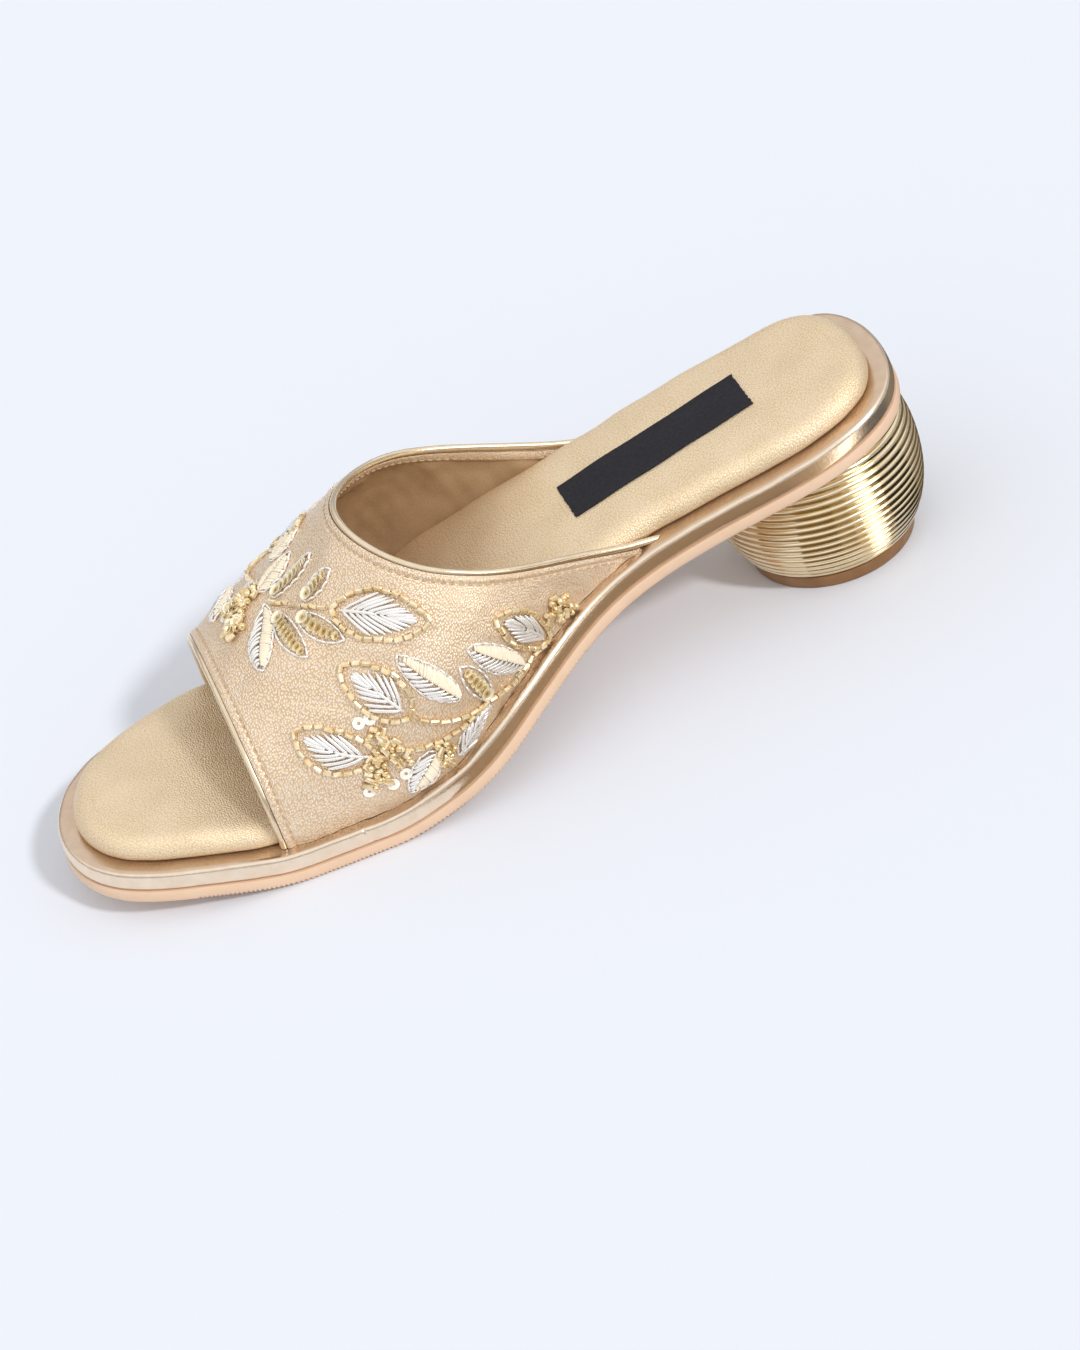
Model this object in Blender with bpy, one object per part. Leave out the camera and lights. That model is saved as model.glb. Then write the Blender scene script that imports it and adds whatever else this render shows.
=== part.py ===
"""A right-foot open-toe mule on a ribbed ball heel.

The shoe stands on the floor, toe towards -Y, its left (medial) side towards +X.
Shape tables and driving sizes are in millimetres, and place() turns them into metres.
A station is a distance forward from the back of the sole, across is a distance to the
shoe's left of the heel's centre line, and a lift is a distance above the seat line (the
top of the rand) at right angles to it.
"""
import math

import bmesh
import bpy
import numpy as np
from mathutils import Vector

# ---------------------------------------------------------------- driving sizes
SOLE_LENGTH = 240.0
GAP = 0.3                      # clearance between neighbouring pieces
RAND_THICKNESS = 5.2
SOLE_THICKNESS = 9.3           # rand, gap and outsole together
TOE_TIP_ACROSS = 9.8

# Sole outline, seen from above: half width about a centre that bends to the medial side.
OUTLINE = [
    # station, half_width, centre
    (7.2, 22.9, 0.0),
    (28.8, 30.6, 0.0),
    (60.0, 30.5, -3.2),
    (96.0, 33.5, -3.2),
    (132.0, 45.5, 1.1),
    (163.2, 45.7, 1.7),
    (192.0, 42.0, 2.8),
    (216.0, 33.4, 5.6),
    (232.8, 21.4, 7.8),
]

# Seat line from the side; the level run is the ball of the foot, flat on the floor.
SEAT_LINE = [
    # station, height
    (0.0, 52.8),
    (30.0, 46.3),
    (60.0, 40.2),
    (90.0, 34.0),
    (120.0, 24.6),
    (148.0, 12.8),
    (164.0, SOLE_THICKNESS),
    (184.0, SOLE_THICKNESS),
    (210.0, 13.4),
    (240.0, 17.5),
]

# Edge sections, from the top round the outside to the bottom.
RAND_SECTION = [
    # inset, lift
    (3.4, 0.0),
    (1.6, -0.15),
    (0.6, -0.75),
    (0.1, -1.7),
    (0.0, -2.9),
    (0.1, -4.4),
    (0.6, -RAND_THICKNESS),
]
OUTSOLE_SECTION = [
    # inset, lift
    (0.7, -RAND_THICKNESS - GAP),
    (0.2, -RAND_THICKNESS - GAP - 0.5),
    (0.3, -SOLE_THICKNESS + 1.4),
    (1.3, -SOLE_THICKNESS),
]
INSOLE_SECTION = [
    # inset from the pad's edge, lift
    (5.6, 6.1),
    (3.4, 5.7),
    (1.7, 4.9),
    (0.6, 3.7),
    (0.0, 2.0),
    (0.2, 0.9),
    (1.0, GAP),
]
PAD_INSET = 4.7                # pad edge to sole edge, where the foot is bare
PAD_INSET_UNDER_UPPER = 5.5
PAD_NARROW = (72.0, 190.0)     # stations between which the upper passes the pad
PAD_NARROW_RUN = 9.0
PAD_CROWN = 0.7
PAD_COLUMNS = 6

# Upper: sections at the toe edge, the middle of the vamp and the topline.
WALL = 1.7
VAMP = [
    # along, foot_medial, foot_lateral, top, height, squareness, lean
    (0.0, 189.7, 189.6, 189.7, 32.8, 0.89, 2.0),
    (0.5, 132.6, 131.6, 167.6, 43.7, 0.74, 1.4),
    (1.0, 75.5, 73.5, 145.6, 54.0, 1.02, 0.82),
]
FOOT_INSET_MEDIAL = 3.5
FOOT_INSET_LATERAL = 3.1
BULGE = 0.04
PIPING_RADIUS = 0.9
PIPING_OVERHANG = 1.0          # how far the cord reaches past the section tables' edges

# Heel: a ball of rings round an upright axis, with a rubber tip under it.
HEEL_STATION = 25.2
BALL_RADIUS = 28.6
BALL_HALF_HEIGHT = 30.2
BALL_CENTRE_HEIGHT = 23.7
BALL_SQUARENESS = 2.2
RING_PITCH = 2.15
RING_DEPTH = 0.5
TIP_HEIGHT = 4.3
TIP_FLOOR_RADIUS = 21.8
HEEL_SEAT_GAP = 0.35

# Mesh fineness
CURVE_STEPS = 300              # fine steps along each side of the sole's curve
SIDE_STEPS = 44                # outline steps from heel to toe on each side
VAMP_STEPS = 14
GIRTH_STEPS = 38
CORD_SIDES = 8
HEEL_SIDES = 40

MILLIMETRE = 0.001


# ---------------------------------------------------------------- curves
def columns(table):
    """The columns of a table, as arrays."""
    return np.array(table, dtype=float).T


def hermite(knots, values, slopes, at):
    """Value and slope at positions on a cubic through knots with given slopes."""
    at = np.asarray(at, dtype=float)
    k = np.clip(np.searchsorted(knots, at, side="right") - 1, 0, len(knots) - 2)
    span = knots[k + 1] - knots[k]
    t = (at - knots[k]) / span
    if values.ndim > 1:
        t = t[:, None]
        span = span[:, None]
    rise = values[k + 1] - values[k]
    value = (values[k] + t * span * slopes[k] + t * t * (3 * rise - span * (2 * slopes[k] + slopes[k + 1]))
             + t ** 3 * (span * (slopes[k] + slopes[k + 1]) - 2 * rise))
    slope = (slopes[k] + 2 * t * (3 * rise / span - 2 * slopes[k] - slopes[k + 1])
             + 3 * t * t * (slopes[k] + slopes[k + 1] - 2 * rise / span))
    return value, slope


def seat(station):
    """Height and slope of the seat line, which keeps the table's level run level."""
    knots, heights = columns(SEAT_LINE)
    chord = np.diff(heights) / np.diff(knots)
    slopes = np.concatenate([chord[:1], np.zeros(len(chord) - 1), chord[-1:]])
    for i in range(1, len(chord)):
        if chord[i - 1] * chord[i] > 0:
            slopes[i] = 2 * chord[i - 1] * chord[i] / (chord[i - 1] + chord[i])
    return hermite(knots, heights, slopes, np.clip(station, 0.0, SOLE_LENGTH))


def closed_curve_slopes(knots, points):
    """Slopes of the smooth closed cubic through points, where the last repeats the first."""
    count = len(points) - 1
    span = np.diff(knots)
    chord = np.diff(points, axis=0) / span[:, None]
    matrix = np.zeros((count, count))
    right = np.zeros((count, 2))
    for i in range(count):
        before = span[i - 1]
        after = span[i]
        matrix[i, i - 1] += 1 / before
        matrix[i, i] += 2 / before + 2 / after
        matrix[i, (i + 1) % count] += 1 / after
        right[i] = 3 * (chord[i - 1] / before + chord[i] / after)
    slopes = np.linalg.solve(matrix, right)
    return np.vstack([slopes, slopes[:1]])


def sole_curve():
    """Fine sole outline with its inward normals: medial side up, lateral side down."""
    station, half_width, centre = columns(OUTLINE)
    medial = np.column_stack([station, centre + half_width])
    lateral = np.column_stack([station, centre - half_width])[::-1]
    back = [[0.0, 0.0]]
    tip = [[SOLE_LENGTH, TOE_TIP_ACROSS]]
    points = np.vstack([back, medial, tip, lateral, back])
    steps = np.sqrt(np.linalg.norm(np.diff(points, axis=0), axis=1))
    knots = np.concatenate([[0.0], np.cumsum(steps)])
    toe_knot = knots[len(medial) + 1]
    there = np.linspace(0.0, toe_knot, CURVE_STEPS + 1)[:-1]
    home = np.linspace(toe_knot, knots[-1], CURVE_STEPS + 1)
    slopes = closed_curve_slopes(knots, points)
    curve, run = hermite(knots, points, slopes, np.concatenate([there, home]))
    run = run / np.linalg.norm(run, axis=1)[:, None]
    return curve, np.column_stack([run[:, 1], -run[:, 0]])


CURVE, CURVE_INWARD = sole_curve()


def sides(inset):
    """Medial and lateral halves of the inset outline, each from heel to toe.

    The inset is a distance, or a function that gives one for each station.
    """
    amount = inset(CURVE[:, 0])[:, None] if callable(inset) else inset
    inner = CURVE + amount * CURVE_INWARD
    return inner[:CURVE_STEPS + 1], inner[CURVE_STEPS:][::-1]


def side_across(station, half):
    """Distance across of one half of an outline at given stations."""
    return np.interp(station, np.maximum.accumulate(half[:, 0]), half[:, 1])


def outline(inset=0.0):
    """Closed inset outline whose two sides share their stations, SIDE_STEPS steps each."""
    medial, lateral = sides(inset)
    turn = np.linspace(0.0, math.pi, SIDE_STEPS + 1)
    station = medial[0, 0] + (medial[-1, 0] - medial[0, 0]) * (1 - np.cos(turn)) / 2
    there = np.column_stack([station, side_across(station, medial)])
    home = np.column_stack([station, side_across(station, lateral)])
    return np.vstack([there, home[-2:0:-1]])


EDGE = outline()
MID_ACROSS = (EDGE[:, 1].max() + EDGE[:, 1].min()) / 2
MID_STATION = (SOLE_LENGTH + HEEL_STATION - BALL_RADIUS) / 2


def place(station, across, height):
    """World point in metres of a point of the shoe given in millimetres."""
    return Vector((across - MID_ACROSS, MID_STATION - station, height)) * MILLIMETRE


def lifted(points, lift):
    """World points at a lift above the seat line, for points (station, across)."""
    height, slope = seat(points[:, 0])
    length = np.sqrt(1 + slope ** 2)
    lift = np.broadcast_to(lift, height.shape)
    station = points[:, 0] - slope / length * lift
    rise = height + lift / length
    return [place(*values) for values in zip(station, points[:, 1], rise)]


# ---------------------------------------------------------------- materials and meshes
def principled(name, colour, roughness, metallic):
    """A plain Principled material."""
    material = bpy.data.materials.new(name)
    material.use_nodes = True
    shader = material.node_tree.nodes["Principled BSDF"]
    shader.inputs["Base Color"].default_value = (*colour, 1.0)
    shader.inputs["Roughness"].default_value = roughness
    shader.inputs["Metallic"].default_value = metallic
    material.diffuse_color = (*colour, 1.0)
    return material


def finish_object(name, mesh_builder, material, sharp_angle=40.0):
    """Object from a filled bmesh, faces outward, round parts smooth."""
    bmesh.ops.recalc_face_normals(mesh_builder, faces=mesh_builder.faces)
    mesh = bpy.data.meshes.new(name)
    mesh_builder.to_mesh(mesh)
    mesh_builder.free()
    mesh.shade_smooth()
    mesh.set_sharp_from_angle(angle=math.radians(sharp_angle))
    mesh.materials.append(material)
    made = bpy.data.objects.new(name, mesh)
    bpy.context.scene.collection.objects.link(made)
    return made


def add_loop(builder, points):
    return [builder.verts.new(point) for point in points]


def bridge(builder, first, second, closed=True):
    """Quads between two rows of corners with the same count."""
    count = len(first)
    for i in range(count if closed else count - 1):
        j = (i + 1) % count
        builder.faces.new((first[i], first[j], second[j], second[i]))


def cap_outline(builder, loop):
    """Closes a sole outline with rungs from its medial to its lateral side."""
    toe = len(loop) // 2
    builder.faces.new((loop[0], loop[1], loop[-1]))
    for i in range(1, toe - 1):
        builder.faces.new((loop[i], loop[i + 1], loop[-i - 1], loop[-i]))
    builder.faces.new((loop[toe - 1], loop[toe], loop[toe + 1]))


# ---------------------------------------------------------------- sole
def layer(name, section, material, inset_from=0.0):
    """A sole layer: its edge section run round the outline, closed above and below."""
    builder = bmesh.new()
    loops = []
    for inset, lift in section:
        loops.append(add_loop(builder, lifted(outline(inset_from + inset), lift)))
    for upper_loop, lower_loop in zip(loops, loops[1:]):
        bridge(builder, upper_loop, lower_loop)
    cap_outline(builder, loops[0])
    cap_outline(builder, loops[-1])
    return finish_object(name, builder, material)


def pad_inset(station):
    """Distance of the pad's edge from the sole's, wider where the upper passes it."""
    start, end = PAD_NARROW
    into = np.clip((station - start) / PAD_NARROW_RUN + 1, 0, 1)
    out = np.clip((end - station) / PAD_NARROW_RUN + 1, 0, 1)
    narrow = np.minimum(into, out)
    narrow = narrow * narrow * (3 - 2 * narrow)
    return PAD_INSET + (PAD_INSET_UNDER_UPPER - PAD_INSET) * narrow


def build_insole(material):
    """The padded foot bed: a puffed edge and a slightly crowned top."""
    builder = bmesh.new()
    loops = []
    for inset, lift in INSOLE_SECTION:
        loop = outline(lambda station, extra=inset: pad_inset(station) + extra)
        loops.append(add_loop(builder, lifted(loop, lift)))
    for upper_loop, lower_loop in zip(loops, loops[1:]):
        bridge(builder, upper_loop, lower_loop)
    cap_outline(builder, loops[-1])

    inset, lift = INSOLE_SECTION[0]
    rim = outline(lambda station: pad_inset(station) + inset)
    toe = len(rim) // 2
    rows = [[loops[0][0]] * (PAD_COLUMNS + 1)]
    for i in range(1, toe):
        row = [loops[0][i]]
        for column in range(1, PAD_COLUMNS):
            t = column / PAD_COLUMNS
            crown = PAD_CROWN * (1 - (2 * t - 1) ** 2) * math.sin(math.pi * i / toe) ** 0.5
            inner = (rim[i] * (1 - t) + rim[-i] * t)[None]
            row.append(builder.verts.new(lifted(inner, lift + crown)[0]))
        row.append(loops[0][-i])
        rows.append(row)
    rows.append([loops[0][toe]] * (PAD_COLUMNS + 1))
    for near, far in zip(rows, rows[1:]):
        for column in range(PAD_COLUMNS):
            corners = (near[column], near[column + 1], far[column + 1], far[column])
            builder.faces.new(list(dict.fromkeys(corners)))
    return finish_object("insole", builder, material)


# ---------------------------------------------------------------- upper
def vamp_value(column, along):
    """A vamp table column at positions along from toe edge to topline."""
    first, middle, last = columns(VAMP)[column]
    return (first * (1 - along) * (1 - 2 * along) + 4 * middle * along * (1 - along)
            + last * along * (2 * along - 1))


def vamp(along, around):
    """Outer surface of the upper in millimetres (station, across, height).

    along runs from 0 at the toe edge to 1 at the topline, around from 0 at the medial
    foot over the top to 1 at the lateral foot.
    """
    angle = math.pi * (around - 0.05 * np.sin(2 * math.pi * around))
    squareness = vamp_value(5, along)
    rise = np.abs(np.sin(angle)) ** squareness
    spread = np.sign(np.cos(angle)) * np.abs(np.cos(angle)) ** squareness
    foot = (vamp_value(1, along) * (1 + np.cos(angle)) + vamp_value(2, along) * (1 - np.cos(angle))) / 2
    station = foot + (vamp_value(3, along) - foot) * rise ** vamp_value(6, along)
    medial = side_across(station, sides(FOOT_INSET_MEDIAL)[0])
    lateral = side_across(station, sides(FOOT_INSET_LATERAL)[1])
    bulge = 1 + 4 * BULGE * rise * (1 - rise)
    across = (medial + lateral) / 2 + (medial - lateral) / 2 * spread * bulge
    height = seat(station.ravel())[0].reshape(station.shape) + GAP + vamp_value(4, along) * rise
    return np.stack([station, across, height], axis=-1)


def unit(vectors):
    return vectors / np.linalg.norm(vectors, axis=-1, keepdims=True)


def vamp_frame(along, around):
    """Surface point, outward normal and the two tangents."""
    step = 0.002
    low = np.clip(around - step, 0.0, 1.0)
    high = np.clip(around + step, 0.0, 1.0)
    point = vamp(along, around)
    run = (vamp(along + step, around) - vamp(along - step, around)) / (2 * step)
    girth = vamp(along, high) - vamp(along, low)
    normal = unit(np.cross(run, girth))
    return point, normal, run, unit(girth)


def edge_position(around, from_edge, topline):
    """Position along at a distance from one of the upper's free edges."""
    edge = np.full_like(around, 1.0 if topline else 0.0)
    _, _, run, girth = vamp_frame(edge, around)
    speed = np.linalg.norm(np.cross(run, girth), axis=-1)
    return edge - from_edge / speed if topline else edge + from_edge / speed


def build_upper(material):
    """Vamp leather with its real wall, open at toe, topline and underneath."""
    margin = 2 * PIPING_RADIUS + GAP - PIPING_OVERHANG
    around = np.linspace(0.0, 1.0, GIRTH_STEPS + 1)
    start = edge_position(around, margin, False)
    end = edge_position(around, margin, True)
    builder = bmesh.new()
    outer = []
    inner = []
    for t in np.linspace(0.0, 1.0, VAMP_STEPS + 1):
        point, normal, _, _ = vamp_frame(start + (end - start) * t, around)
        lining = point - WALL * normal
        for foot in (0, -1):
            lining[foot, 2] = seat(lining[foot, 0])[0] + GAP
        outer.append(add_loop(builder, [place(*p) for p in point]))
        inner.append(add_loop(builder, [place(*p) for p in lining]))
    for rows in (outer, inner):
        for near, far in zip(rows, rows[1:]):
            bridge(builder, near, far, closed=False)
    bridge(builder, outer[0], inner[0], closed=False)
    bridge(builder, outer[-1], inner[-1], closed=False)
    for side in (0, -1):
        bridge(builder, [row[side] for row in outer], [row[side] for row in inner], closed=False)
    return finish_object("upper", builder, material)


def slid_to_seat(points, direction):
    """Points slid along a direction until they lie one gap above the seat."""
    for _ in range(4):
        height, slope = seat(points[:, 0])
        above = points[:, 2] - height - GAP
        points = points - direction * (above / (direction[2] - slope * direction[0]))[:, None]
    return points


def build_piping(name, topline, material):
    """Cord along a free edge of the upper, its ends cut level with the seat."""
    around = np.concatenate([[0.0], np.linspace(0.03, 0.97, GIRTH_STEPS + 4), [1.0]])
    along = edge_position(around, PIPING_RADIUS - PIPING_OVERHANG, topline)
    point, normal, _, _ = vamp_frame(along, around)
    centre = point - WALL / 2 * normal
    tangent = unit(np.gradient(centre, axis=0))
    side = unit(np.cross(tangent, normal))
    out = np.cross(side, tangent)
    builder = bmesh.new()
    loops = []
    for i in range(len(centre)):
        ring = []
        for k in range(CORD_SIDES):
            turn = 2 * math.pi * k / CORD_SIDES
            ring.append(centre[i] + PIPING_RADIUS * (math.cos(turn) * side[i] + math.sin(turn) * out[i]))
        ring = np.array(ring)
        if i in (0, len(centre) - 1):
            ring = slid_to_seat(ring, tangent[i])
        loops.append(add_loop(builder, [place(*p) for p in ring]))
    for near, far in zip(loops, loops[1:]):
        bridge(builder, near, far)
    builder.faces.new(loops[0])
    builder.faces.new(loops[-1])
    return finish_object(name, builder, material)


# ---------------------------------------------------------------- heel
def ball_radius(height):
    """Radius of the ball at a height above the floor."""
    reach = abs((height - BALL_CENTRE_HEIGHT) / BALL_HALF_HEIGHT)
    return BALL_RADIUS * (1 - reach ** BALL_SQUARENESS) ** (1 / BALL_SQUARENESS)


def turned(builder, profile, sides):
    """Closed solid turned about the heel's axis from (radius, height) pairs, bottom up."""
    loops = []
    for radius, height in profile:
        ring = []
        for k in range(sides):
            turn = 2 * math.pi * k / sides
            ring.append(place(HEEL_STATION + radius * math.cos(turn), radius * math.sin(turn), height))
        loops.append(add_loop(builder, ring))
    for low, high in zip(loops, loops[1:]):
        bridge(builder, low, high)
    builder.faces.new(loops[0])
    builder.faces.new(loops[-1])


def build_heel(material):
    """Ribbed ball, cut off by the sloping underside of the sole."""
    bottom = TIP_HEIGHT + GAP
    rings = int((seat(0.0)[0] - bottom) / RING_PITCH)
    profile = [(ball_radius(bottom) - RING_DEPTH, bottom)]
    for ring in range(rings):
        crest = bottom + RING_PITCH * (ring + 0.5)
        valley = bottom + RING_PITCH * (ring + 1)
        profile.append((ball_radius(crest), crest))
        profile.append((ball_radius(valley) - RING_DEPTH, valley))
    builder = bmesh.new()
    turned(builder, profile, HEEL_SIDES)
    ends = np.array([[HEEL_STATION - BALL_RADIUS, 0.0], [HEEL_STATION + BALL_RADIUS, 0.0]])
    back, front = lifted(ends, -SOLE_THICKNESS - HEEL_SEAT_GAP)
    normal = Vector((0.0, front.z - back.z, back.y - front.y)).normalized()
    everything = builder.verts[:] + builder.edges[:] + builder.faces[:]
    cut = bmesh.ops.bisect_plane(builder, geom=everything, dist=1e-7, plane_co=back,
                                 plane_no=normal, clear_outer=True)
    rim = [item for item in cut["geom_cut"] if isinstance(item, bmesh.types.BMEdge)]
    bmesh.ops.contextual_create(builder, geom=rim)
    return finish_object("heel", builder, material, sharp_angle=30.0)


def build_heel_tip(material):
    """Smooth rubber tip whose underside is flat on the floor."""
    top = ball_radius(TIP_HEIGHT) - RING_DEPTH
    middle = 0.55 * top + 0.45 * TIP_FLOOR_RADIUS
    profile = [
        (TIP_FLOOR_RADIUS - 0.5, 0.0),
        (TIP_FLOOR_RADIUS, 0.5),
        (middle + 0.3, TIP_HEIGHT * 0.55),
        (top, TIP_HEIGHT),
    ]
    builder = bmesh.new()
    turned(builder, profile, HEEL_SIDES)
    return finish_object("heel_tip", builder, material)


# ---------------------------------------------------------------- the shoe
def build_shoe():
    rubber = principled("peach_rubber", (0.88, 0.62, 0.44), 0.55, 0.0)
    rand_gold = principled("gold_wrap", (0.78, 0.60, 0.36), 0.30, 0.85)
    pad_gold = principled("gold_pad_leather", (0.80, 0.64, 0.40), 0.42, 0.55)
    vamp_gold = principled("gold_vamp_leather", (0.86, 0.68, 0.45), 0.38, 0.55)
    cord_gold = principled("gold_piping", (0.86, 0.72, 0.48), 0.20, 0.95)
    chrome_gold = principled("gold_chrome", (0.88, 0.72, 0.40), 0.12, 1.0)
    tip_rubber = principled("tan_rubber", (0.52, 0.37, 0.24), 0.50, 0.0)

    layer("outsole", OUTSOLE_SECTION, rubber)
    layer("rand", RAND_SECTION, rand_gold)
    build_insole(pad_gold)
    build_upper(vamp_gold)
    build_piping("toe_piping", False, cord_gold)
    build_piping("topline_piping", True, cord_gold)
    build_heel(chrome_gold)
    build_heel_tip(tip_rubber)


for old in list(bpy.data.objects):
    bpy.data.objects.remove(old, do_unlink=True)
build_shoe()
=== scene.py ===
"""Looks of the embellished open-toe mule: leather, piping, hand embroidery, ribbed heel, studio.

Shape tables are in millimetres, as in the CAD. A station is a distance forward from the back
of the sole, across is a distance to the shoe's left of the heel's centre line, and a lift is a
distance above the seat line (the top of the rand) at right angles to it. On the vamp, along
runs from 0 at the toe edge to 1 at the topline, and around from 0 at the medial foot over the
top to 1 at the lateral foot.
"""
import math

import bmesh
import bpy
import numpy as np
from mathutils import Matrix, Vector

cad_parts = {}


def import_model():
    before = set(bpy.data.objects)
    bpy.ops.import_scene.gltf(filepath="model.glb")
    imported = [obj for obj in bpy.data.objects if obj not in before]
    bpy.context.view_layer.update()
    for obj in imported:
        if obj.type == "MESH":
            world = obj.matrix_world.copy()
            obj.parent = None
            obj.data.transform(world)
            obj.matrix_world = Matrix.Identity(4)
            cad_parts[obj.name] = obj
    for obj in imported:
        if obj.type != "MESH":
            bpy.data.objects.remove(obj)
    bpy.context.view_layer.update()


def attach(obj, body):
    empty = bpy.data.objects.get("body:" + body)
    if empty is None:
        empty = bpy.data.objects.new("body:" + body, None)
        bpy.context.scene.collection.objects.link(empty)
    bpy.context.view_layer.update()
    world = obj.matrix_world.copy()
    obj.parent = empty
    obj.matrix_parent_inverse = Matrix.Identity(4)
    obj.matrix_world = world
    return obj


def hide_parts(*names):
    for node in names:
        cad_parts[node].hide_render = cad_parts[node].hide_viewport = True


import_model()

MILLIMETRE = 0.001
SEED = 20

# ---------------------------------------------------------------- sizes shared with the CAD
SOLE_LENGTH = 240.0
GAP = 0.3
RAND_THICKNESS = 5.2
SOLE_THICKNESS = 9.3
TOE_TIP_ACROSS = 9.8
OUTLINE = [
    # station, half_width, centre
    (7.2, 22.9, 0.0),
    (28.8, 30.6, 0.0),
    (60.0, 30.5, -3.2),
    (96.0, 33.5, -3.2),
    (132.0, 45.5, 1.1),
    (163.2, 45.7, 1.7),
    (192.0, 42.0, 2.8),
    (216.0, 33.4, 5.6),
    (232.8, 21.4, 7.8),
]
SEAT_LINE = [
    # station, height
    (0.0, 52.8),
    (30.0, 46.3),
    (60.0, 40.2),
    (90.0, 34.0),
    (120.0, 24.6),
    (148.0, 12.8),
    (164.0, SOLE_THICKNESS),
    (184.0, SOLE_THICKNESS),
    (210.0, 13.4),
    (240.0, 17.5),
]
PAD_INSET = 4.7
PAD_INSET_UNDER_UPPER = 5.5
PAD_NARROW = (72.0, 190.0)
PAD_NARROW_RUN = 9.0
PAD_CROWN = 0.7
WALL = 1.7
VAMP = [
    # along, foot_medial, foot_lateral, top, height, squareness, lean
    (0.0, 189.7, 189.6, 189.7, 32.8, 0.89, 2.0),
    (0.5, 132.6, 131.6, 167.6, 43.7, 0.74, 1.4),
    (1.0, 75.5, 73.5, 145.6, 54.0, 1.02, 0.82),
]
FOOT_INSET_MEDIAL = 3.5
FOOT_INSET_LATERAL = 3.1
BULGE = 0.04
PIPING_RADIUS = 0.9
PIPING_OVERHANG = 1.0
HEEL_STATION = 25.2
BALL_RADIUS = 28.6
BALL_HALF_HEIGHT = 30.2
BALL_CENTRE_HEIGHT = 23.7
BALL_SQUARENESS = 2.2
RING_PITCH = 2.15
RING_DEPTH = 0.5
TIP_HEIGHT = 4.3
TIP_FLOOR_RADIUS = 21.8
HEEL_SEAT_GAP = 0.35
CURVE_STEPS = 300
CAD_SIDE_STEPS = 44

# ---------------------------------------------------------------- sizes of the finish
FINE = 1


# ---------------------------------------------------------------- curves
def columns(table):
    """The columns of a table, as arrays."""
    return np.array(table, dtype=float).T


def hermite(knots, values, slopes, at):
    """Value and slope at positions on a cubic through knots with given slopes."""
    at = np.asarray(at, dtype=float)
    k = np.clip(np.searchsorted(knots, at, side="right") - 1, 0, len(knots) - 2)
    span = knots[k + 1] - knots[k]
    t = (at - knots[k]) / span
    if values.ndim > 1:
        t, span = t[:, None], span[:, None]
    rise = values[k + 1] - values[k]
    first, last = slopes[k], slopes[k + 1]
    value = (values[k] + t * span * first + t * t * (3 * rise - span * (2 * first + last))
             + t ** 3 * (span * (first + last) - 2 * rise))
    slope = (first + 2 * t * (3 * rise / span - 2 * first - last)
             + 3 * t * t * (first + last - 2 * rise / span))
    return value, slope


def seat(station):
    """Height and slope of the seat line, which keeps the table's level run level."""
    knots, heights = columns(SEAT_LINE)
    chord = np.diff(heights) / np.diff(knots)
    slopes = np.concatenate([chord[:1], np.zeros(len(chord) - 1), chord[-1:]])
    for i in range(1, len(chord)):
        if chord[i - 1] * chord[i] > 0:
            slopes[i] = 2 * chord[i - 1] * chord[i] / (chord[i - 1] + chord[i])
    return hermite(knots, heights, slopes, np.clip(station, 0.0, SOLE_LENGTH))


def closed_curve_slopes(knots, points):
    """Slopes of the smooth closed cubic through points, where the last repeats the first."""
    count = len(points) - 1
    span = np.diff(knots)
    chord = np.diff(points, axis=0) / span[:, None]
    matrix = np.zeros((count, count))
    right = np.zeros((count, 2))
    for i in range(count):
        before, after = span[i - 1], span[i]
        matrix[i, i - 1] += 1 / before
        matrix[i, i] += 2 / before + 2 / after
        matrix[i, (i + 1) % count] += 1 / after
        right[i] = 3 * (chord[i - 1] / before + chord[i] / after)
    slopes = np.linalg.solve(matrix, right)
    return np.vstack([slopes, slopes[:1]])


def sole_curve():
    """Fine sole outline with its inward normals: medial side up, lateral side down."""
    station, half_width, centre = columns(OUTLINE)
    medial = np.column_stack([station, centre + half_width])
    lateral = np.column_stack([station, centre - half_width])[::-1]
    back = [[0.0, 0.0]]
    tip = [[SOLE_LENGTH, TOE_TIP_ACROSS]]
    points = np.vstack([back, medial, tip, lateral, back])
    steps = np.sqrt(np.linalg.norm(np.diff(points, axis=0), axis=1))
    knots = np.concatenate([[0.0], np.cumsum(steps)])
    toe_knot = knots[len(medial) + 1]
    there = np.linspace(0.0, toe_knot, CURVE_STEPS + 1)[:-1]
    home = np.linspace(toe_knot, knots[-1], CURVE_STEPS + 1)
    slopes = closed_curve_slopes(knots, points)
    curve, run = hermite(knots, points, slopes, np.concatenate([there, home]))
    run = run / np.linalg.norm(run, axis=1)[:, None]
    return curve, np.column_stack([run[:, 1], -run[:, 0]])


CURVE, CURVE_INWARD = sole_curve()


def sides(inset):
    """Medial and lateral halves of the inset outline, each from heel to toe."""
    amount = inset(CURVE[:, 0])[:, None] if callable(inset) else inset
    inner = CURVE + amount * CURVE_INWARD
    return inner[:CURVE_STEPS + 1], inner[CURVE_STEPS:][::-1]


def side_across(station, half):
    """Distance across of one half of an outline at given stations."""
    return np.interp(station, np.maximum.accumulate(half[:, 0]), half[:, 1])


def even_turns(steps):
    """Fractions from heel to toe, closer together at both ends."""
    return (1 - np.cos(np.linspace(0.0, math.pi, steps + 1))) / 2


def outline(inset=0.0, fractions=None):
    """Closed inset outline (station, across) whose two sides share their stations."""
    medial, lateral = sides(inset)
    fractions = even_turns(CAD_SIDE_STEPS) if fractions is None else fractions
    station = medial[0, 0] + (medial[-1, 0] - medial[0, 0]) * fractions
    there, home = (np.column_stack([station, side_across(station, half)])
                   for half in (medial, lateral))
    return np.vstack([there, home[-2:0:-1]])


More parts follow.
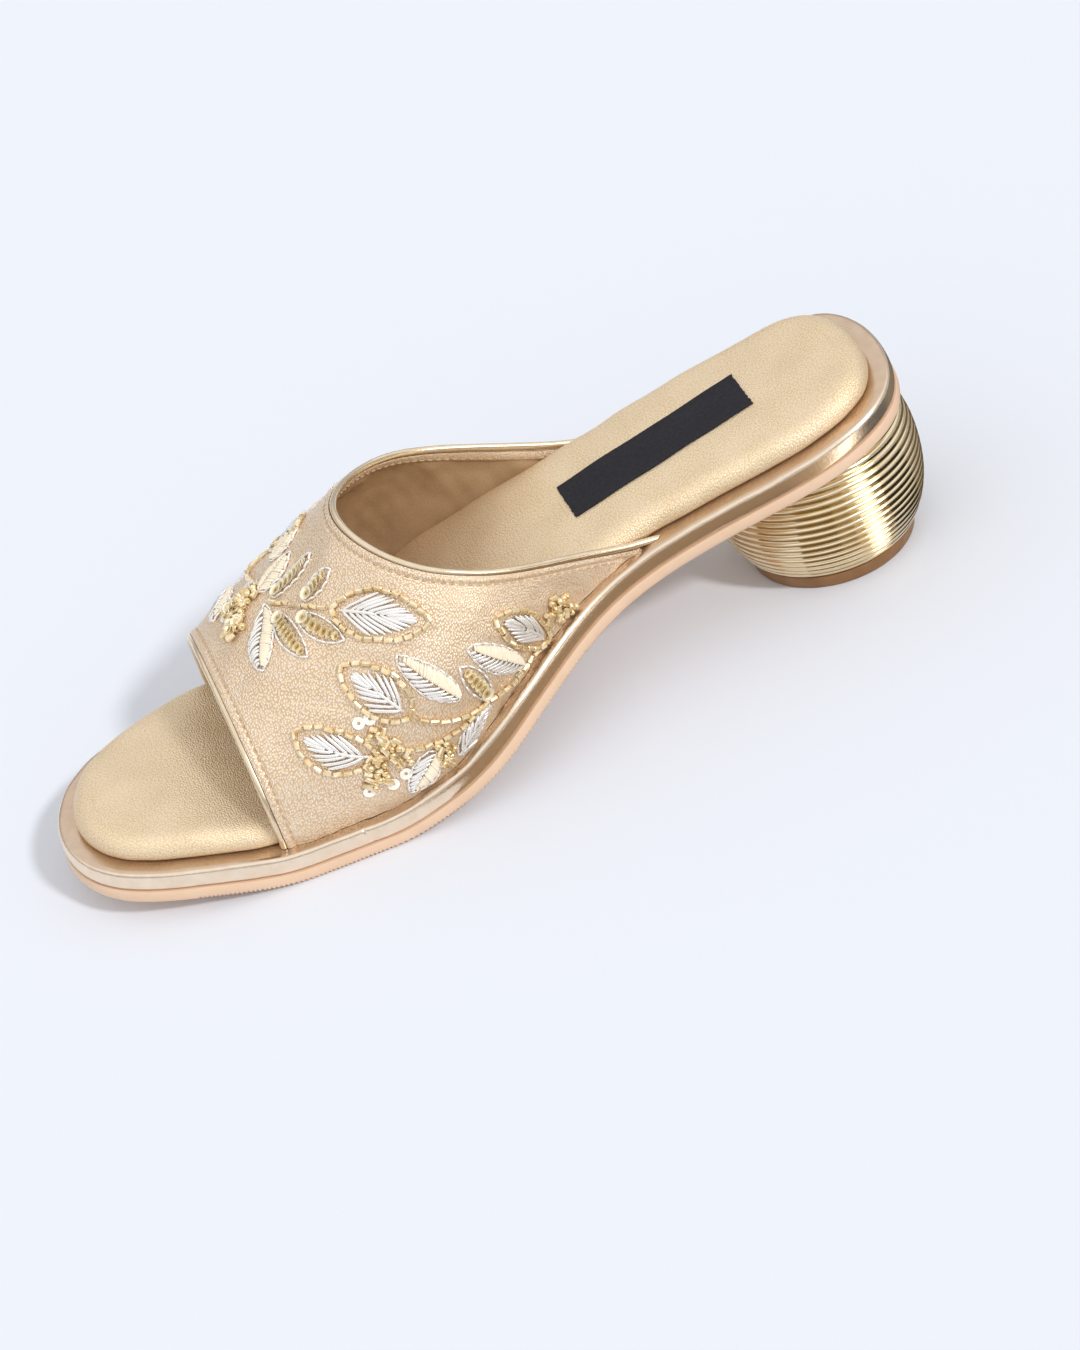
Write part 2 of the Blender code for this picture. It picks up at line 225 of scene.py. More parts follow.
EDGE = outline()
MID_ACROSS = (EDGE[:, 1].max() + EDGE[:, 1].min()) / 2
MID_STATION = (SOLE_LENGTH + HEEL_STATION - BALL_RADIUS) / 2


def world(points):
    """World points in metres of shoe points (station, across, height) in millimetres."""
    station, across, height = np.moveaxis(np.asarray(points, dtype=float), -1, 0)
    return np.stack([across - MID_ACROSS, MID_STATION - station, height], axis=-1) * MILLIMETRE


def lifted(points, lift):
    """Shoe points at a lift above the seat line, for points (station, across)."""
    height, slope = seat(points[:, 0])
    length = np.sqrt(1 + slope ** 2)
    return np.stack([points[:, 0] - slope / length * lift, points[:, 1], height + lift / length],
                    axis=-1)


def unit(vectors):
    return vectors / np.linalg.norm(vectors, axis=-1, keepdims=True)


def run_along(points):
    """Distance walked along a line of points, from its first."""
    return np.concatenate([[0.0], np.cumsum(np.linalg.norm(np.diff(points, axis=0), axis=1))])


def square_frame(direction, up):
    """A direction made unit, and those beside it and outward; up leans outward."""
    direction = unit(direction)
    side = unit(np.cross(direction, up))
    return direction, side, np.cross(side, direction)


def circle(side, out, count, turned=0.0):
    """Unit ring of count points round each place, from two directions at right angles."""
    turn = 2 * math.pi * (np.arange(count) + turned) / count
    return np.cos(turn)[:, None] * side[..., None, :] + np.sin(turn)[:, None] * out[..., None, :]


def ripple(points, wavelength, seed, waves=9):
    """Smooth irregular waviness of about unit height, from sine waves in seeded directions."""
    draw = np.random.default_rng(seed)
    total = 0.0
    for _ in range(waves):
        direction = unit(draw.normal(size=points.shape[-1]))
        length = wavelength * draw.uniform(0.7, 1.5)
        phase = draw.uniform(0, 2 * math.pi)
        total = total + np.sin(points @ direction * 2 * math.pi / length + phase)
    return total * math.sqrt(2 / waves)


def bell(distance, width):
    return np.exp(-(distance / width) ** 2)


def smooth_step(x):
    x = np.clip(x, 0.0, 1.0)
    return x * x * (3 - 2 * x)


# ---------------------------------------------------------------- the vamp's surface
VAMP_MEDIAL = sides(FOOT_INSET_MEDIAL)[0]
VAMP_LATERAL = sides(FOOT_INSET_LATERAL)[1]


def vamp_value(column, along):
    """A vamp table column at positions along from toe edge to topline."""
    first, middle, last = columns(VAMP)[column]
    return (first * (1 - along) * (1 - 2 * along) + 4 * middle * along * (1 - along)
            + last * along * (2 * along - 1))


FOOT_CROWDING = 0.05                   # how far the positions around crowd at the feet


def vamp(along, around):
    """Outer surface of the upper in millimetres (station, across, height)."""
    foot_medial, foot_lateral, top, height, squareness, lean = (
        vamp_value(column, along) for column in range(1, 7))
    angle = math.pi * (around - FOOT_CROWDING * np.sin(2 * math.pi * around))
    rise = np.abs(np.sin(angle)) ** squareness
    spread = np.sign(np.cos(angle)) * np.abs(np.cos(angle)) ** squareness
    foot = (foot_medial * (1 + np.cos(angle)) + foot_lateral * (1 - np.cos(angle))) / 2
    station = foot + (top - foot) * rise ** lean
    medial = side_across(station, VAMP_MEDIAL)
    lateral = side_across(station, VAMP_LATERAL)
    bulge = 1 + 4 * BULGE * rise * (1 - rise)
    across = (medial + lateral) / 2 + (medial - lateral) / 2 * spread * bulge
    height = seat(station.ravel())[0].reshape(station.shape) + GAP + height * rise
    return np.stack([station, across, height], axis=-1)


def vamp_frame(along, around):
    """Surface point, outward normal and the two tangents."""
    step = 0.002
    run = (vamp(along + step, around) - vamp(along - step, around)) / (2 * step)
    girth = (vamp(along, np.clip(around + step, 0.0, 1.0))
             - vamp(along, np.clip(around - step, 0.0, 1.0)))
    return vamp(along, around), unit(np.cross(run, girth)), run, unit(girth)


def across_speed(run, girth):
    """Millimetres from edge to edge per unit of along, at right angles to the girth."""
    return np.linalg.norm(np.cross(run, girth), axis=-1)


def edge_position(around, from_edge, topline):
    """Position along at a distance from one of the upper's free edges."""
    edge = np.full_like(around, 1.0 if topline else 0.0)
    _, _, run, girth = vamp_frame(edge, around)
    inward = -1 if topline else 1
    return edge + inward * from_edge / across_speed(run, girth)


STITCH_DISTANCE = 2.75
# Relief of the leather: (height, distance from the free edge, width) of band and stitch groove.
EDGE_BAND = (0.22, 1.7, 0.75)
STITCH_GROOVE = (-0.3, STITCH_DISTANCE, 0.42)
WRINKLES = [(0.16, 16.0, 3), (0.05, 5.0, 4)]       # (height, length, seed)
WRINKLES_START = 3.5                   # distance from the free edge
VAMP_GIRTH = 165.0
PLEAT_HEIGHT = 0.16
PLEAT_PITCH = 6.1
PLEAT_REACH = 5.0                      # distance above the feet


def relief(point, run, girth, along, around):
    """Height of the leather's folds, groove and soft wrinkles over its plain surface."""
    near = np.minimum(along, 1 - along) * across_speed(run, girth)
    height = sum(size * bell(near - where, width)
                 for size, where, width in (EDGE_BAND, STITCH_GROOVE))
    inside = smooth_step((near - WRINKLES_START) / 4)
    for size, length, seed in WRINKLES:
        height = height + inside * size * ripple(point, length, seed)
    above_foot = np.minimum(around, 1 - around) * VAMP_GIRTH
    station = point[..., 0]
    pleats = np.sin(station * 2 * math.pi / PLEAT_PITCH + 1.6 * np.sin(station / 9.0))
    return height + PLEAT_HEIGHT * bell(above_foot, PLEAT_REACH) * pleats * smooth_step(near / 3)


def skin(along, around, lift=0.0):
    """Point on the outside of the finished leather, raised by lift, and its normal."""
    along = np.asarray(along, dtype=float)
    around = np.clip(around, 0.0, 1.0)
    point, normal, run, girth = vamp_frame(along, around)
    height = relief(point, run, girth, along, around) + lift
    return point + height[..., None] * normal, normal


# ---------------------------------------------------------------- meshes
def grid_faces(rows, per_row, closed=False, looped=False, caps=False):
    """Quads of a grid of rows with per_row corners each.

    closed joins each row's ends, looped joins the last row to the first, and caps fills the
    first and the last row.
    """
    i, j = np.meshgrid(np.arange(rows if looped else rows - 1),
                       np.arange(per_row if closed else per_row - 1), indexing="ij")
    here, there = i * per_row, (i + 1) % rows * per_row
    beside = (j + 1) % per_row
    quads = np.stack([here + j, here + beside, there + beside, there + j], axis=-1)
    faces = quads.reshape(-1, 4).tolist()
    if caps:
        faces.append(list(range(per_row))[::-1])
        faces.append(list(range((rows - 1) * per_row, rows * per_row)))
    return faces


def placed(name, data):
    """A new object in the scene."""
    made = bpy.data.objects.new(name, data)
    bpy.context.scene.collection.objects.link(made)
    return made


def mesh_object(name, vertices, faces, material, sharp_angle, corner_uv=None, trim=None):
    """Object in the root body from world vertices in metres, shaded smooth but for sharp edges.

    trim, if given, cuts the mesh while it is built.
    """
    mesh = bpy.data.meshes.new(name)
    mesh.from_pydata(np.asarray(vertices).tolist(), [], faces)
    if corner_uv is not None:
        layer = mesh.uv_layers.new(name="run")
        layer.data.foreach_set("uv", np.asarray(corner_uv, dtype=np.float32).ravel())
    builder = bmesh.new()
    builder.from_mesh(mesh)
    if trim:
        trim(builder)
    bmesh.ops.recalc_face_normals(builder, faces=builder.faces)
    builder.to_mesh(mesh)
    builder.free()
    mesh.shade_smooth()
    mesh.set_sharp_from_angle(angle=math.radians(sharp_angle))
    mesh.materials.append(material)
    made = placed(name, mesh)
    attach(made, "root")
    return made


def walked(grid):
    """Run coordinates of a grid's corners: down each column, along each row from its middle."""
    grid = np.asarray(grid)
    down, along = (np.insert(np.cumsum(np.linalg.norm(np.diff(grid, axis=axis), axis=2), axis=axis),
                             0, 0.0, axis=axis) for axis in (0, 1))
    along -= along[:, [grid.shape[1] // 2]]
    return np.column_stack([down.ravel(), along.ravel()])


def by_corner(by_vertex, faces):
    """Run coordinates for every face corner, from those of the vertices."""
    return np.asarray(by_vertex)[np.concatenate(faces)]


def outline_cap(count, start, flip=False):
    """Faces that close an outline loop of count corners with rungs from side to side."""
    toe = count // 2
    faces = [[0, 1, count - 1]]
    for i in range(1, toe - 1):
        faces.append([i, i + 1, count - i - 1, count - i])
    faces.append([toe - 1, toe, toe + 1])
    return [[start + corner for corner in (face[::-1] if flip else face)] for face in faces]


def with_lift(flat, lift):
    """Places (station, across, lift) from flat ones, all at one lift."""
    return np.column_stack([flat, np.full(len(flat), lift)])


class Batch:
    """Many small solids gathered into one mesh, with a run coordinate on every face corner."""

    def __init__(self):
        self.vertices, self.faces, self.corner_uv = [], [], []
        self.count = 0

    def add(self, vertices, faces, corner_uv=None):
        if corner_uv is None:
            corner_uv = np.zeros((sum(map(len, faces)), 2))
        self.vertices.append(vertices)
        self.faces += [[corner + self.count for corner in face] for face in faces]
        self.corner_uv.append(corner_uv)
        self.count += len(vertices)

    def build(self, name, material, sharp_angle):
        made = mesh_object(name, world(np.vstack(self.vertices)), self.faces, material,
                           sharp_angle, np.vstack(self.corner_uv))


def tube(batch, path, up, radius, sides_count, ends=1.0):
    """A closed tube along a path of shoe points, narrowed at its ends."""
    path = np.asarray(path, dtype=float)
    _, side, out = square_frame(np.gradient(path, axis=0), up)
    radius = np.full(len(path), radius)
    radius[[0, -1]] *= ends
    ring = circle(side, out, sides_count, 0.5)
    vertices = (path[:, None] + radius[:, None, None] * ring).reshape(-1, 3)
    rows = len(path)
    run = run_along(path)
    i, j = np.meshgrid(np.arange(rows - 1), np.arange(sides_count), indexing="ij")
    u = np.stack([run[i], run[i], run[i + 1], run[i + 1]], axis=-1)
    v = np.stack([j, j + 1, j + 1, j], axis=-1) / sides_count
    caps = np.zeros((2 * sides_count, 2))
    caps[sides_count:, 0] = run[-1]
    batch.add(vertices, grid_faces(rows, sides_count, closed=True, caps=True),
              np.vstack([np.stack([u, v], axis=-1).reshape(-1, 2), caps]))


# ---------------------------------------------------------------- materials
class Nodes:
    """The node tree of a new material or world, with short ways to add and join nodes."""

    def __init__(self, name, kind="materials"):
        self.owner = getattr(bpy.data, kind).new(name)
        self.owner.use_nodes = True
        self.tree = self.owner.node_tree

    def fill(self, node, inputs):
        """Sets a node's sockets to values, or joins other nodes' outputs to them."""
        for key, value in inputs.items():
            if isinstance(value, bpy.types.NodeSocket):
                self.tree.links.new(value, node.inputs[key])
            else:
                node.inputs[key].default_value = value

    def add(self, kind, inputs=None, **settings):
        """The outputs of a new node."""
        node = self.tree.nodes.new(kind)
        for key, value in settings.items():
            setattr(node, key, value)
        self.fill(node, inputs or {})
        return node.outputs

    def set(self, **inputs):
        """Sets or joins the sockets of the material's shader."""
        self.fill(self.tree.nodes["Principled BSDF"],
                  {key.replace("_", " "): value for key, value in inputs.items()})

    def place(self, kind="Object"):
        """Object coordinates in metres, or a piece's run coordinates if kind is UV."""
        return self.add("ShaderNodeTexCoord")[kind]

    def parts(self, vector):
        return self.add("ShaderNodeSeparateXYZ", {0: vector})

    def noise(self, scale, detail, roughness=0.55):
        return self.add("ShaderNodeTexNoise", {
            "Vector": self.place(), "Scale": scale, "Detail": detail,
            "Roughness": roughness})["Fac"]

    def cells(self, width):
        """Distance from the middle of each flat cell, and a random value that each cell keeps."""
        outputs = self.add("ShaderNodeTexVoronoi", {
            "Vector": self.place("UV"), "Scale": 1 / width, "Randomness": 0.78},
            voronoi_dimensions="2D")
        return outputs["Distance"], outputs["Color"]

    def maths(self, operation, *values):
        return self.add("ShaderNodeMath", dict(enumerate(values)), operation=operation)[0]

    def wave(self, turns):
        """Sine wave, one to a turn."""
        return self.maths("SINE", self.maths("MULTIPLY", turns, 2 * math.pi))

    def ramp(self, value, low, high, out_low=0.0, out_high=1.0):
        return self.add("ShaderNodeMapRange", {
            "Value": value, "From Min": low, "From Max": high, "To Min": out_low,
            "To Max": out_high})["Result"]

    def clouds(self, scale, detail, low=0.0, high=1.0):
        """Soft clouds from low to high."""
        return self.ramp(self.noise(scale, detail), 0.3, 0.7, low, high)

    def blend(self, value, first, second, kind="MIX"):
        """A colour between two, by value; each is a colour or another node's output."""
        first, second = ((*colour, 1.0) if isinstance(colour, tuple) else colour
                         for colour in (first, second))
        return self.add("ShaderNodeMix", {0: value, 6: first, 7: second}, data_type="RGBA",
                        blend_type=kind)[2]

    def bump(self, height, depth_mm, strength=1.0, before=None):
        inputs = {"Height": height, "Distance": depth_mm * MILLIMETRE, "Strength": strength}
        if before is not None:
            inputs["Normal"] = before
        return self.add("ShaderNodeBump", inputs)["Normal"]


WHITE = (1.0, 1.0, 1.0)


def leather(name, light, dark, painted_glint, metallic, rough, pebble, depth, painted_glint_share, crease_painted_shade):
    """Foil-finished leather: pebbles with a painted shade in the creases between them and painted
    highlights on their tops.

    pebble is their width in millimetres, in the piece's run coordinates.
    """
    nodes = Nodes(name)
    clouds = nodes.clouds(90.0, 2.0)
    distance, lot = nodes.cells(pebble)
    top = nodes.ramp(distance, 0.20, 0.58, 1.0, 0.0)
    tip = nodes.ramp(distance, 0.10, 0.36, 1.0, 0.0)
    # painted highlight: the pebble tops lightened towards the glint colour, more on some cells than
    # on others
    painted_sparkle = nodes.maths("MULTIPLY", tip, nodes.ramp(lot, 0.25, 0.75, 0.25 * painted_glint_share, painted_glint_share))
    body = nodes.blend(clouds, dark, light)
    # painted shade darkening the creases between the pebbles
    crease_shading = nodes.blend(top, crease_painted_shade, WHITE)
    toned = nodes.blend(nodes.ramp(clouds, 0.0, 1.0, 1.0, 0.8), body, crease_shading, "MULTIPLY")
    nodes.set(
        Base_Color=nodes.blend(painted_sparkle, toned, painted_glint), Metallic=metallic,
        Roughness=nodes.ramp(top, 0.0, 1.0, rough + 0.14, rough - 0.05),
        Normal=nodes.bump(nodes.noise(2600.0, 2.0), 0.015, before=nodes.bump(top, depth)))
    return nodes.owner


def foil(name, light, dark, rough_low, rough_high, depth, painted_top_shade=WHITE):
    """Glossy foil stretched over board or cord: clouded gloss and fine grain.

    The last colour is a painted shade, multiplied onto the faces that look up.
    """
    nodes = Nodes(name)
    clouds = nodes.noise(240.0, 4.0, 0.6)
    # mask of the faces that look up, which take the painted shade
    upward = nodes.parts(nodes.add("ShaderNodeNewGeometry")["Normal"])[2]
    body = nodes.blend(nodes.ramp(clouds, 0.35, 0.65), dark, light)
    nodes.set(Base_Color=nodes.blend(nodes.ramp(upward, 0.80, 0.95), body, painted_top_shade, "MULTIPLY"),
              Metallic=0.9, Roughness=nodes.ramp(clouds, 0.35, 0.65, rough_high, rough_low),
              Normal=nodes.bump(nodes.noise(1400.0, 3.0, 0.6), depth))
    return nodes.owner


def twisted_metal(name, colour, groove_painted_shade, rough, twist):
    """Fine wire wound in a close spiral, seen as slanting ridges along each strand, with a painted
    shade in the grooves between the turns.
    """
    nodes = Nodes(name)
    run = nodes.parts(nodes.place("UV"))
    wave = nodes.wave(nodes.maths("MULTIPLY_ADD", run[0], twist, run[1]))
    nodes.set(Base_Color=nodes.blend(nodes.ramp(wave, -1.0, 0.2), groove_painted_shade, colour), Metallic=0.62,
              Roughness=nodes.clouds(900.0, 3.0, rough - 0.05, rough + 0.05),
              Normal=nodes.bump(wave, 0.02, 0.6))
    return nodes.owner


def varied(name, light, dark, metallic, rough, scale, coat=0.0, depth=0.0, sheen=0.0):
    """A plain finish whose colour and gloss vary from place to place."""
    nodes = Nodes(name)
    tone = nodes.ramp(nodes.noise(scale, 2.0), 0.35, 0.65)
    nodes.set(Base_Color=nodes.blend(tone, dark, light), Metallic=metallic,
              Roughness=nodes.clouds(scale * 1.7, 2.0, rough * 0.7, rough * 1.3),
              Coat_Weight=coat, Coat_Roughness=0.06, Sheen_Weight=sheen)
    if depth:
        nodes.set(Normal=nodes.bump(nodes.noise(2500.0, 3.0), depth))
    return nodes.owner


def sequin_with_painted_rim_light(name, rim, bowl_painted_shade, metallic, rough):
    """Pressed sequin: a painted highlight on the raised rim round a painted shade in the bowl, by
    the share of its radius.
    """
    nodes = Nodes(name)
    tone = nodes.ramp(nodes.parts(nodes.place("UV"))[0], 0.48, 0.64)
    nodes.set(Base_Color=nodes.blend(tone, bowl_painted_shade, rim), Metallic=metallic,
              Roughness=nodes.clouds(800.0, 2.0, rough * 0.7, rough * 1.3),
              Coat_Weight=0.8, Coat_Roughness=0.06)
    return nodes.owner


def woven(name, warp, weft, threads):
    """Plain weave with threads to a millimetre, in the cloth's own run coordinates."""
    nodes = Nodes(name)
    run = nodes.parts(nodes.place("UV"))
    waves = [nodes.wave(nodes.maths("MULTIPLY", run[axis], threads)) for axis in (0, 1)]
    weave = nodes.maths("MULTIPLY", *waves)
    nodes.set(Base_Color=nodes.blend(nodes.ramp(weave, -0.8, 0.8), warp, weft),
              Roughness=nodes.clouds(900.0, 3.0, 0.7, 0.95), Normal=nodes.bump(weave, 0.06, 0.8),
              Sheen_Weight=0.03, Specular_IOR_Level=0.2)
    return nodes.owner


MATERIALS = {
    # For each leather, the third colour is the painted highlight on the pebble tops and the last is
    # the painted shade in the creases.
    "vamp": leather("vamp_leather", (0.92, 0.755, 0.57), (0.87, 0.695, 0.505),
                    (1.0, 0.95, 0.88), 0.54, 0.32, 0.71, 0.09, 0.85, (0.80, 0.705, 0.575)),
    "pad": leather("pad_leather", (0.95, 0.78, 0.55), (0.915, 0.74, 0.50),
                   (1.0, 0.93, 0.79), 0.57, 0.36, 0.58, 0.07, 0.42, (0.86, 0.79, 0.69)),
    "lining": leather("lining_leather", (0.50, 0.33, 0.18), (0.42, 0.27, 0.145),
                      (0.50, 0.34, 0.19), 0.1, 0.6, 0.6, 0.015, 0.1, (0.93, 0.91, 0.88)),
    # The rand's foil carries a painted shade on its upward faces, its top ledge.
    "rand": foil("rand_foil", (0.92, 0.765, 0.60), (0.86, 0.70, 0.53), 0.17, 0.27, 0.05,
                 painted_top_shade=(0.74, 0.68, 0.64)),
    "piping": foil("piping_foil", (0.88, 0.74, 0.55), (0.80, 0.65, 0.45), 0.16, 0.26, 0.02),
    "outsole": varied("outsole_rubber", (0.76, 0.535, 0.37), (0.74, 0.51, 0.345), 0.0, 0.55,
                      160.0, depth=0.03),
    "tip": varied("tip_rubber", (0.27, 0.130, 0.042), (0.225, 0.105, 0.034), 0.0, 0.5,
                  160.0, depth=0.03),
    "heel": varied("heel_gold", (0.91, 0.77, 0.53), (0.86, 0.70, 0.44), 1.0, 0.13,
                   120.0, depth=0.006),
    # Silver wire and purl: the second colour is a painted shade in the spiral's grooves.
    "wire": twisted_metal("silver_wire", (1.0, 0.98, 0.95), (0.92, 0.88, 0.83), 0.2, 2.2),
    "outline": twisted_metal("silver_purl", (1.0, 0.98, 0.95), (0.90, 0.86, 0.82), 0.18, 1.6),
    "beads": varied("bead_glass", (1.0, 0.90, 0.63), (0.90, 0.63, 0.30), 0.62, 0.11,
                    620.0, coat=1.0),
    "seed_beads": varied("seed_glass", (1.0, 0.85, 0.54), (0.82, 0.57, 0.24), 0.66, 0.16,
                         480.0, coat=0.9),
    "bead_linings": varied("bead_lining", (1.0, 0.96, 0.86), (0.97, 0.90, 0.74), 1.0, 0.14, 480.0),
    # Sequins: the first colour is a painted highlight on the rim, the second a painted shade in the
    # bowl.
    "sequins": sequin_with_painted_rim_light("sequin_gold", (1.0, 0.93, 0.70), (0.72, 0.51, 0.20), 0.42, 0.18),
    "pale_sequins": sequin_with_painted_rim_light("sequin_pale", (1.0, 0.96, 0.86), (0.95, 0.89, 0.74), 0.15, 0.22),
    "satin": varied("satin_thread", (0.96, 0.86, 0.68), (0.91, 0.79, 0.59), 0.0, 0.42,
                    700.0, depth=0.02, sheen=0.5),
    "thread": varied("sewing_thread", (0.62, 0.45, 0.27), (0.50, 0.34, 0.19), 0.0, 0.6,
                     700.0, depth=0.02, sheen=0.3),
    "label": woven("label_weave", (0.012, 0.012, 0.015), (0.028, 0.027, 0.034), 1.6),
}


# ---------------------------------------------------------------- vamp and lining
# The turned edge, from inside out, and the rows beside it.
EDGE_ROWS = [
    # distance from the table edge, depth
    (1.1, 1.2), (1.08, 0.9), (1.0, 0.55), (0.86, 0.27), (0.74, 0.1), (0.72, 0.0),
]
SURFACE_STEPS = [0.9, 1.15, 1.45, 1.75, 2.05, 2.3, 2.5, 2.65, 2.75, 2.85, 3.0, 3.2, 3.5, 4.0]
MIDDLE_ROWS = 62 // FINE
GIRTH_COLUMNS = 230 // FINE
LEATHER = 0.95                         # thickness of the vamp's outer leather
LEATHER_EDGE = 0.15                    # and of its turned edge
VAMP_LIFT = 0.08                       # of its feet above the seat
LINING_LIFT = 0.12


def vamp_positions(around):
    """Rows of (along, depth) that follow both edges and fill the middle."""
    near = EDGE_ROWS + [(step, 0.0) for step in SURFACE_STEPS]
    rows = [(edge_position(around, from_edge, False), depth) for from_edge, depth in near]
    start = rows[-1][0]
    end = edge_position(around, SURFACE_STEPS[-1], True)
    rows += [(start + (end - start) * t, 0.0) for t in np.linspace(0.0, 1.0, MIDDLE_ROWS + 1)[1:]]
    return rows + [(edge_position(around, from_edge, True), depth)
                   for from_edge, depth in near[-2::-1]]


def settle_feet(row, lift):
    """Sets the first and last point of a row down near the seat."""
    for foot in (0, -1):
        row[foot, 2] = seat(row[foot, 0])[0] + lift
    return row


def build_shell(name, outer, inner, material):
    """Closed sheet between rows outside and rows inside."""
    rows = outer + inner[::-1]
    total, count = len(rows), len(rows[0])
    faces = grid_faces(total, count, looped=True)
    for side in (0, count - 1):
        for i in range(len(outer) - 1):
            faces.append([row * count + side for row in (i, i + 1, total - 2 - i, total - 1 - i)])
    spread = walked(outer).reshape(len(outer), count, 2)
    spread = np.vstack([spread, spread[::-1]]).reshape(-1, 2)
    return mesh_object(name, world(np.vstack(rows)), faces, material, 70.0,
                       by_corner(spread, faces))


def build_vamp():
    around = np.linspace(0.0, 1.0, GIRTH_COLUMNS + 1)
    outer = []
    inner = []
    for along, depth in vamp_positions(around):
        point, normal, _, _ = vamp_frame(along, around)
        outer.append(settle_feet(skin(along, around, -depth)[0], VAMP_LIFT))
        inside = point - max(depth + LEATHER_EDGE, LEATHER) * normal
        inner.append(settle_feet(inside, VAMP_LIFT))
    made = build_shell("vamp", outer, inner, MATERIALS["vamp"])
    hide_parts("upper")


LINING_EDGE = 1.25                     # distance from the vamp's free edges
LINING_FOLDS = [(0.42, 11.0, 11), (0.14, 4.0, 12)]         # (height, length, seed)
LINING_SEAM = (0.25, 3.2, 0.5)         # (height, distance from the free edge, width)


def build_lining():
    """Thin lining leather inside the vamp, softly wrinkled."""
    around = np.linspace(0.0, 1.0, 151)
    start, end = (edge_position(around, LINING_EDGE, topline) for topline in (False, True))
    seam_rise, seam_place, seam_width = LINING_SEAM
    outer = []
    inner = []
    for t in np.linspace(0.0, 1.0, 90):
        along = start + (end - start) * t
        point, normal, run, girth = vamp_frame(along, around)
        near = np.minimum(along, 1 - along) * across_speed(run, girth)
        stretched = point * np.array([1.0, 0.45, 0.45])
        folds = sum(size * ripple(stretched, length, seed) for size, length, seed in LINING_FOLDS)
        folds = np.clip(smooth_step((near - 3.0) / 5.0) * folds, -0.3, 0.8)
        seam = seam_rise * bell(near - seam_place, seam_width)
        outer.append(settle_feet(point - (LEATHER + 0.1) * normal, LINING_LIFT))
        inner.append(settle_feet(point - (WALL + seam + folds)[:, None] * normal, LINING_LIFT))
    made = build_shell("vamp_lining", outer, inner, MATERIALS["lining"])


FACING_RISE = 0.42                     # over the inside of the wall
FACING_SECTION = [
    # distance from the topline, depth below the vamp's surface
    (1.0, WALL - 0.1),
    (1.0, WALL + 0.22),
    (1.4, WALL + 0.38),
    (2.4, WALL + FACING_RISE),
    (3.3, WALL + 0.38),
    (3.5, WALL + 0.22),
    (3.5, WALL - 0.1),
]


def build_facing():
    """Strip of the vamp's leather turned in along the topline, over the lining's edge."""
    around = np.linspace(0.0, 1.0, 241)
    rows = []
    for from_edge, depth in FACING_SECTION:
        point, normal, _, _ = vamp_frame(edge_position(around, from_edge, True), around)
        rows.append(settle_feet(point - depth * normal, LINING_LIFT))
    rings = np.stack(rows, axis=1)
    faces = grid_faces(len(around), len(FACING_SECTION), closed=True, caps=True)
    made = mesh_object("topline_facing", world(rings.reshape(-1, 3)), faces, MATERIALS["vamp"],
                       60.0, by_corner(walked(rings), faces))


def build_piping(name, topline):
    """Foil-covered cord along a free edge of the vamp, its ends level with the seat."""
    around = np.concatenate([[0.0], np.linspace(0.02, 0.98, 300 // FINE), [1.0]])
    along = edge_position(around, PIPING_RADIUS - PIPING_OVERHANG, topline)
    point, normal, _, _ = vamp_frame(along, around)
    centre = point - WALL / 2 * normal
    tangent, side, out = square_frame(np.gradient(centre, axis=0), normal)
    radius = PIPING_RADIUS * (1 + 0.02 * ripple(centre, 7.0, 21 + topline))
    sides_count = 18
    vertices = centre[:, None] + radius[:, None, None] * circle(side, out, sides_count)
    for end in (0, -1):
        direction = tangent[end]
        for _ in range(4):             # each pass brings the end closer to the curved seat
            height, slope = seat(vertices[end][:, 0])
            above = vertices[end][:, 2] - height - 0.1
            steps = above / (direction[2] - slope * direction[0])
            vertices[end] = vertices[end] - direction * steps[:, None]
    faces = grid_faces(len(centre), sides_count, closed=True, caps=True)
    made = mesh_object(name + "_cord", world(vertices.reshape(-1, 3)), faces, MATERIALS["piping"],
                       60.0)
    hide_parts(name)


STITCH_PITCH = 2.3
STITCH_LENGTH = 1.75
STITCH_RADIUS = 0.19
STITCH_LIFT = np.array([-0.22, 0.1, 0.16, 0.1, -0.22])     # from end to end


def build_stitches():
    """Short thread stitches in the groove beside both edges, and on the topline's facing."""
    batch = Batch()
    for topline, inside in ((False, False), (True, False), (True, True)):
        around = np.linspace(0.012, 0.988, 1200)
        line = np.stack([edge_position(around, STITCH_DISTANCE, topline), around], axis=-1)
        spots = walk(line)
        count = int(spots[-1] / STITCH_PITCH)
        for k in range(count):
            middle = (k + 0.5) * spots[-1] / count
            place = along_line(line, spots, middle + np.linspace(-0.5, 0.5, 5) * STITCH_LENGTH)
            if inside:
                point, normal, _, _ = vamp_frame(*place)
                path = point - (WALL + FACING_RISE + STITCH_LIFT)[:, None] * normal
            else:
                path, normal = skin(*place, STITCH_LIFT)
            tube(batch, path, normal, STITCH_RADIUS, 6, ends=0.6)
    batch.build("edge_stitches", MATERIALS["thread"], 60.0)


# ---------------------------------------------------------------- lines on the vamp
def walk(line):
    """Distance walked on the vamp to each (along, around) of a fine line."""
    return run_along(vamp(line[:, 0], np.clip(line[:, 1], 0.0, 1.0)))


def along_line(line, spots, distances):
    """Positions along and around at distances walked on a line, from those of its points."""
    return [np.interp(distances, spots, line[:, k]) for k in (0, 1)]


def smooth_line(points, steps=16):
    """A fine smooth line through chart points."""
    points = np.asarray(points, dtype=float)
    knots = np.arange(len(points), dtype=float)
    fine = np.linspace(0.0, knots[-1], steps * (len(points) - 1) + 1)
    return hermite(knots, points, np.gradient(points, axis=0), fine)[0]


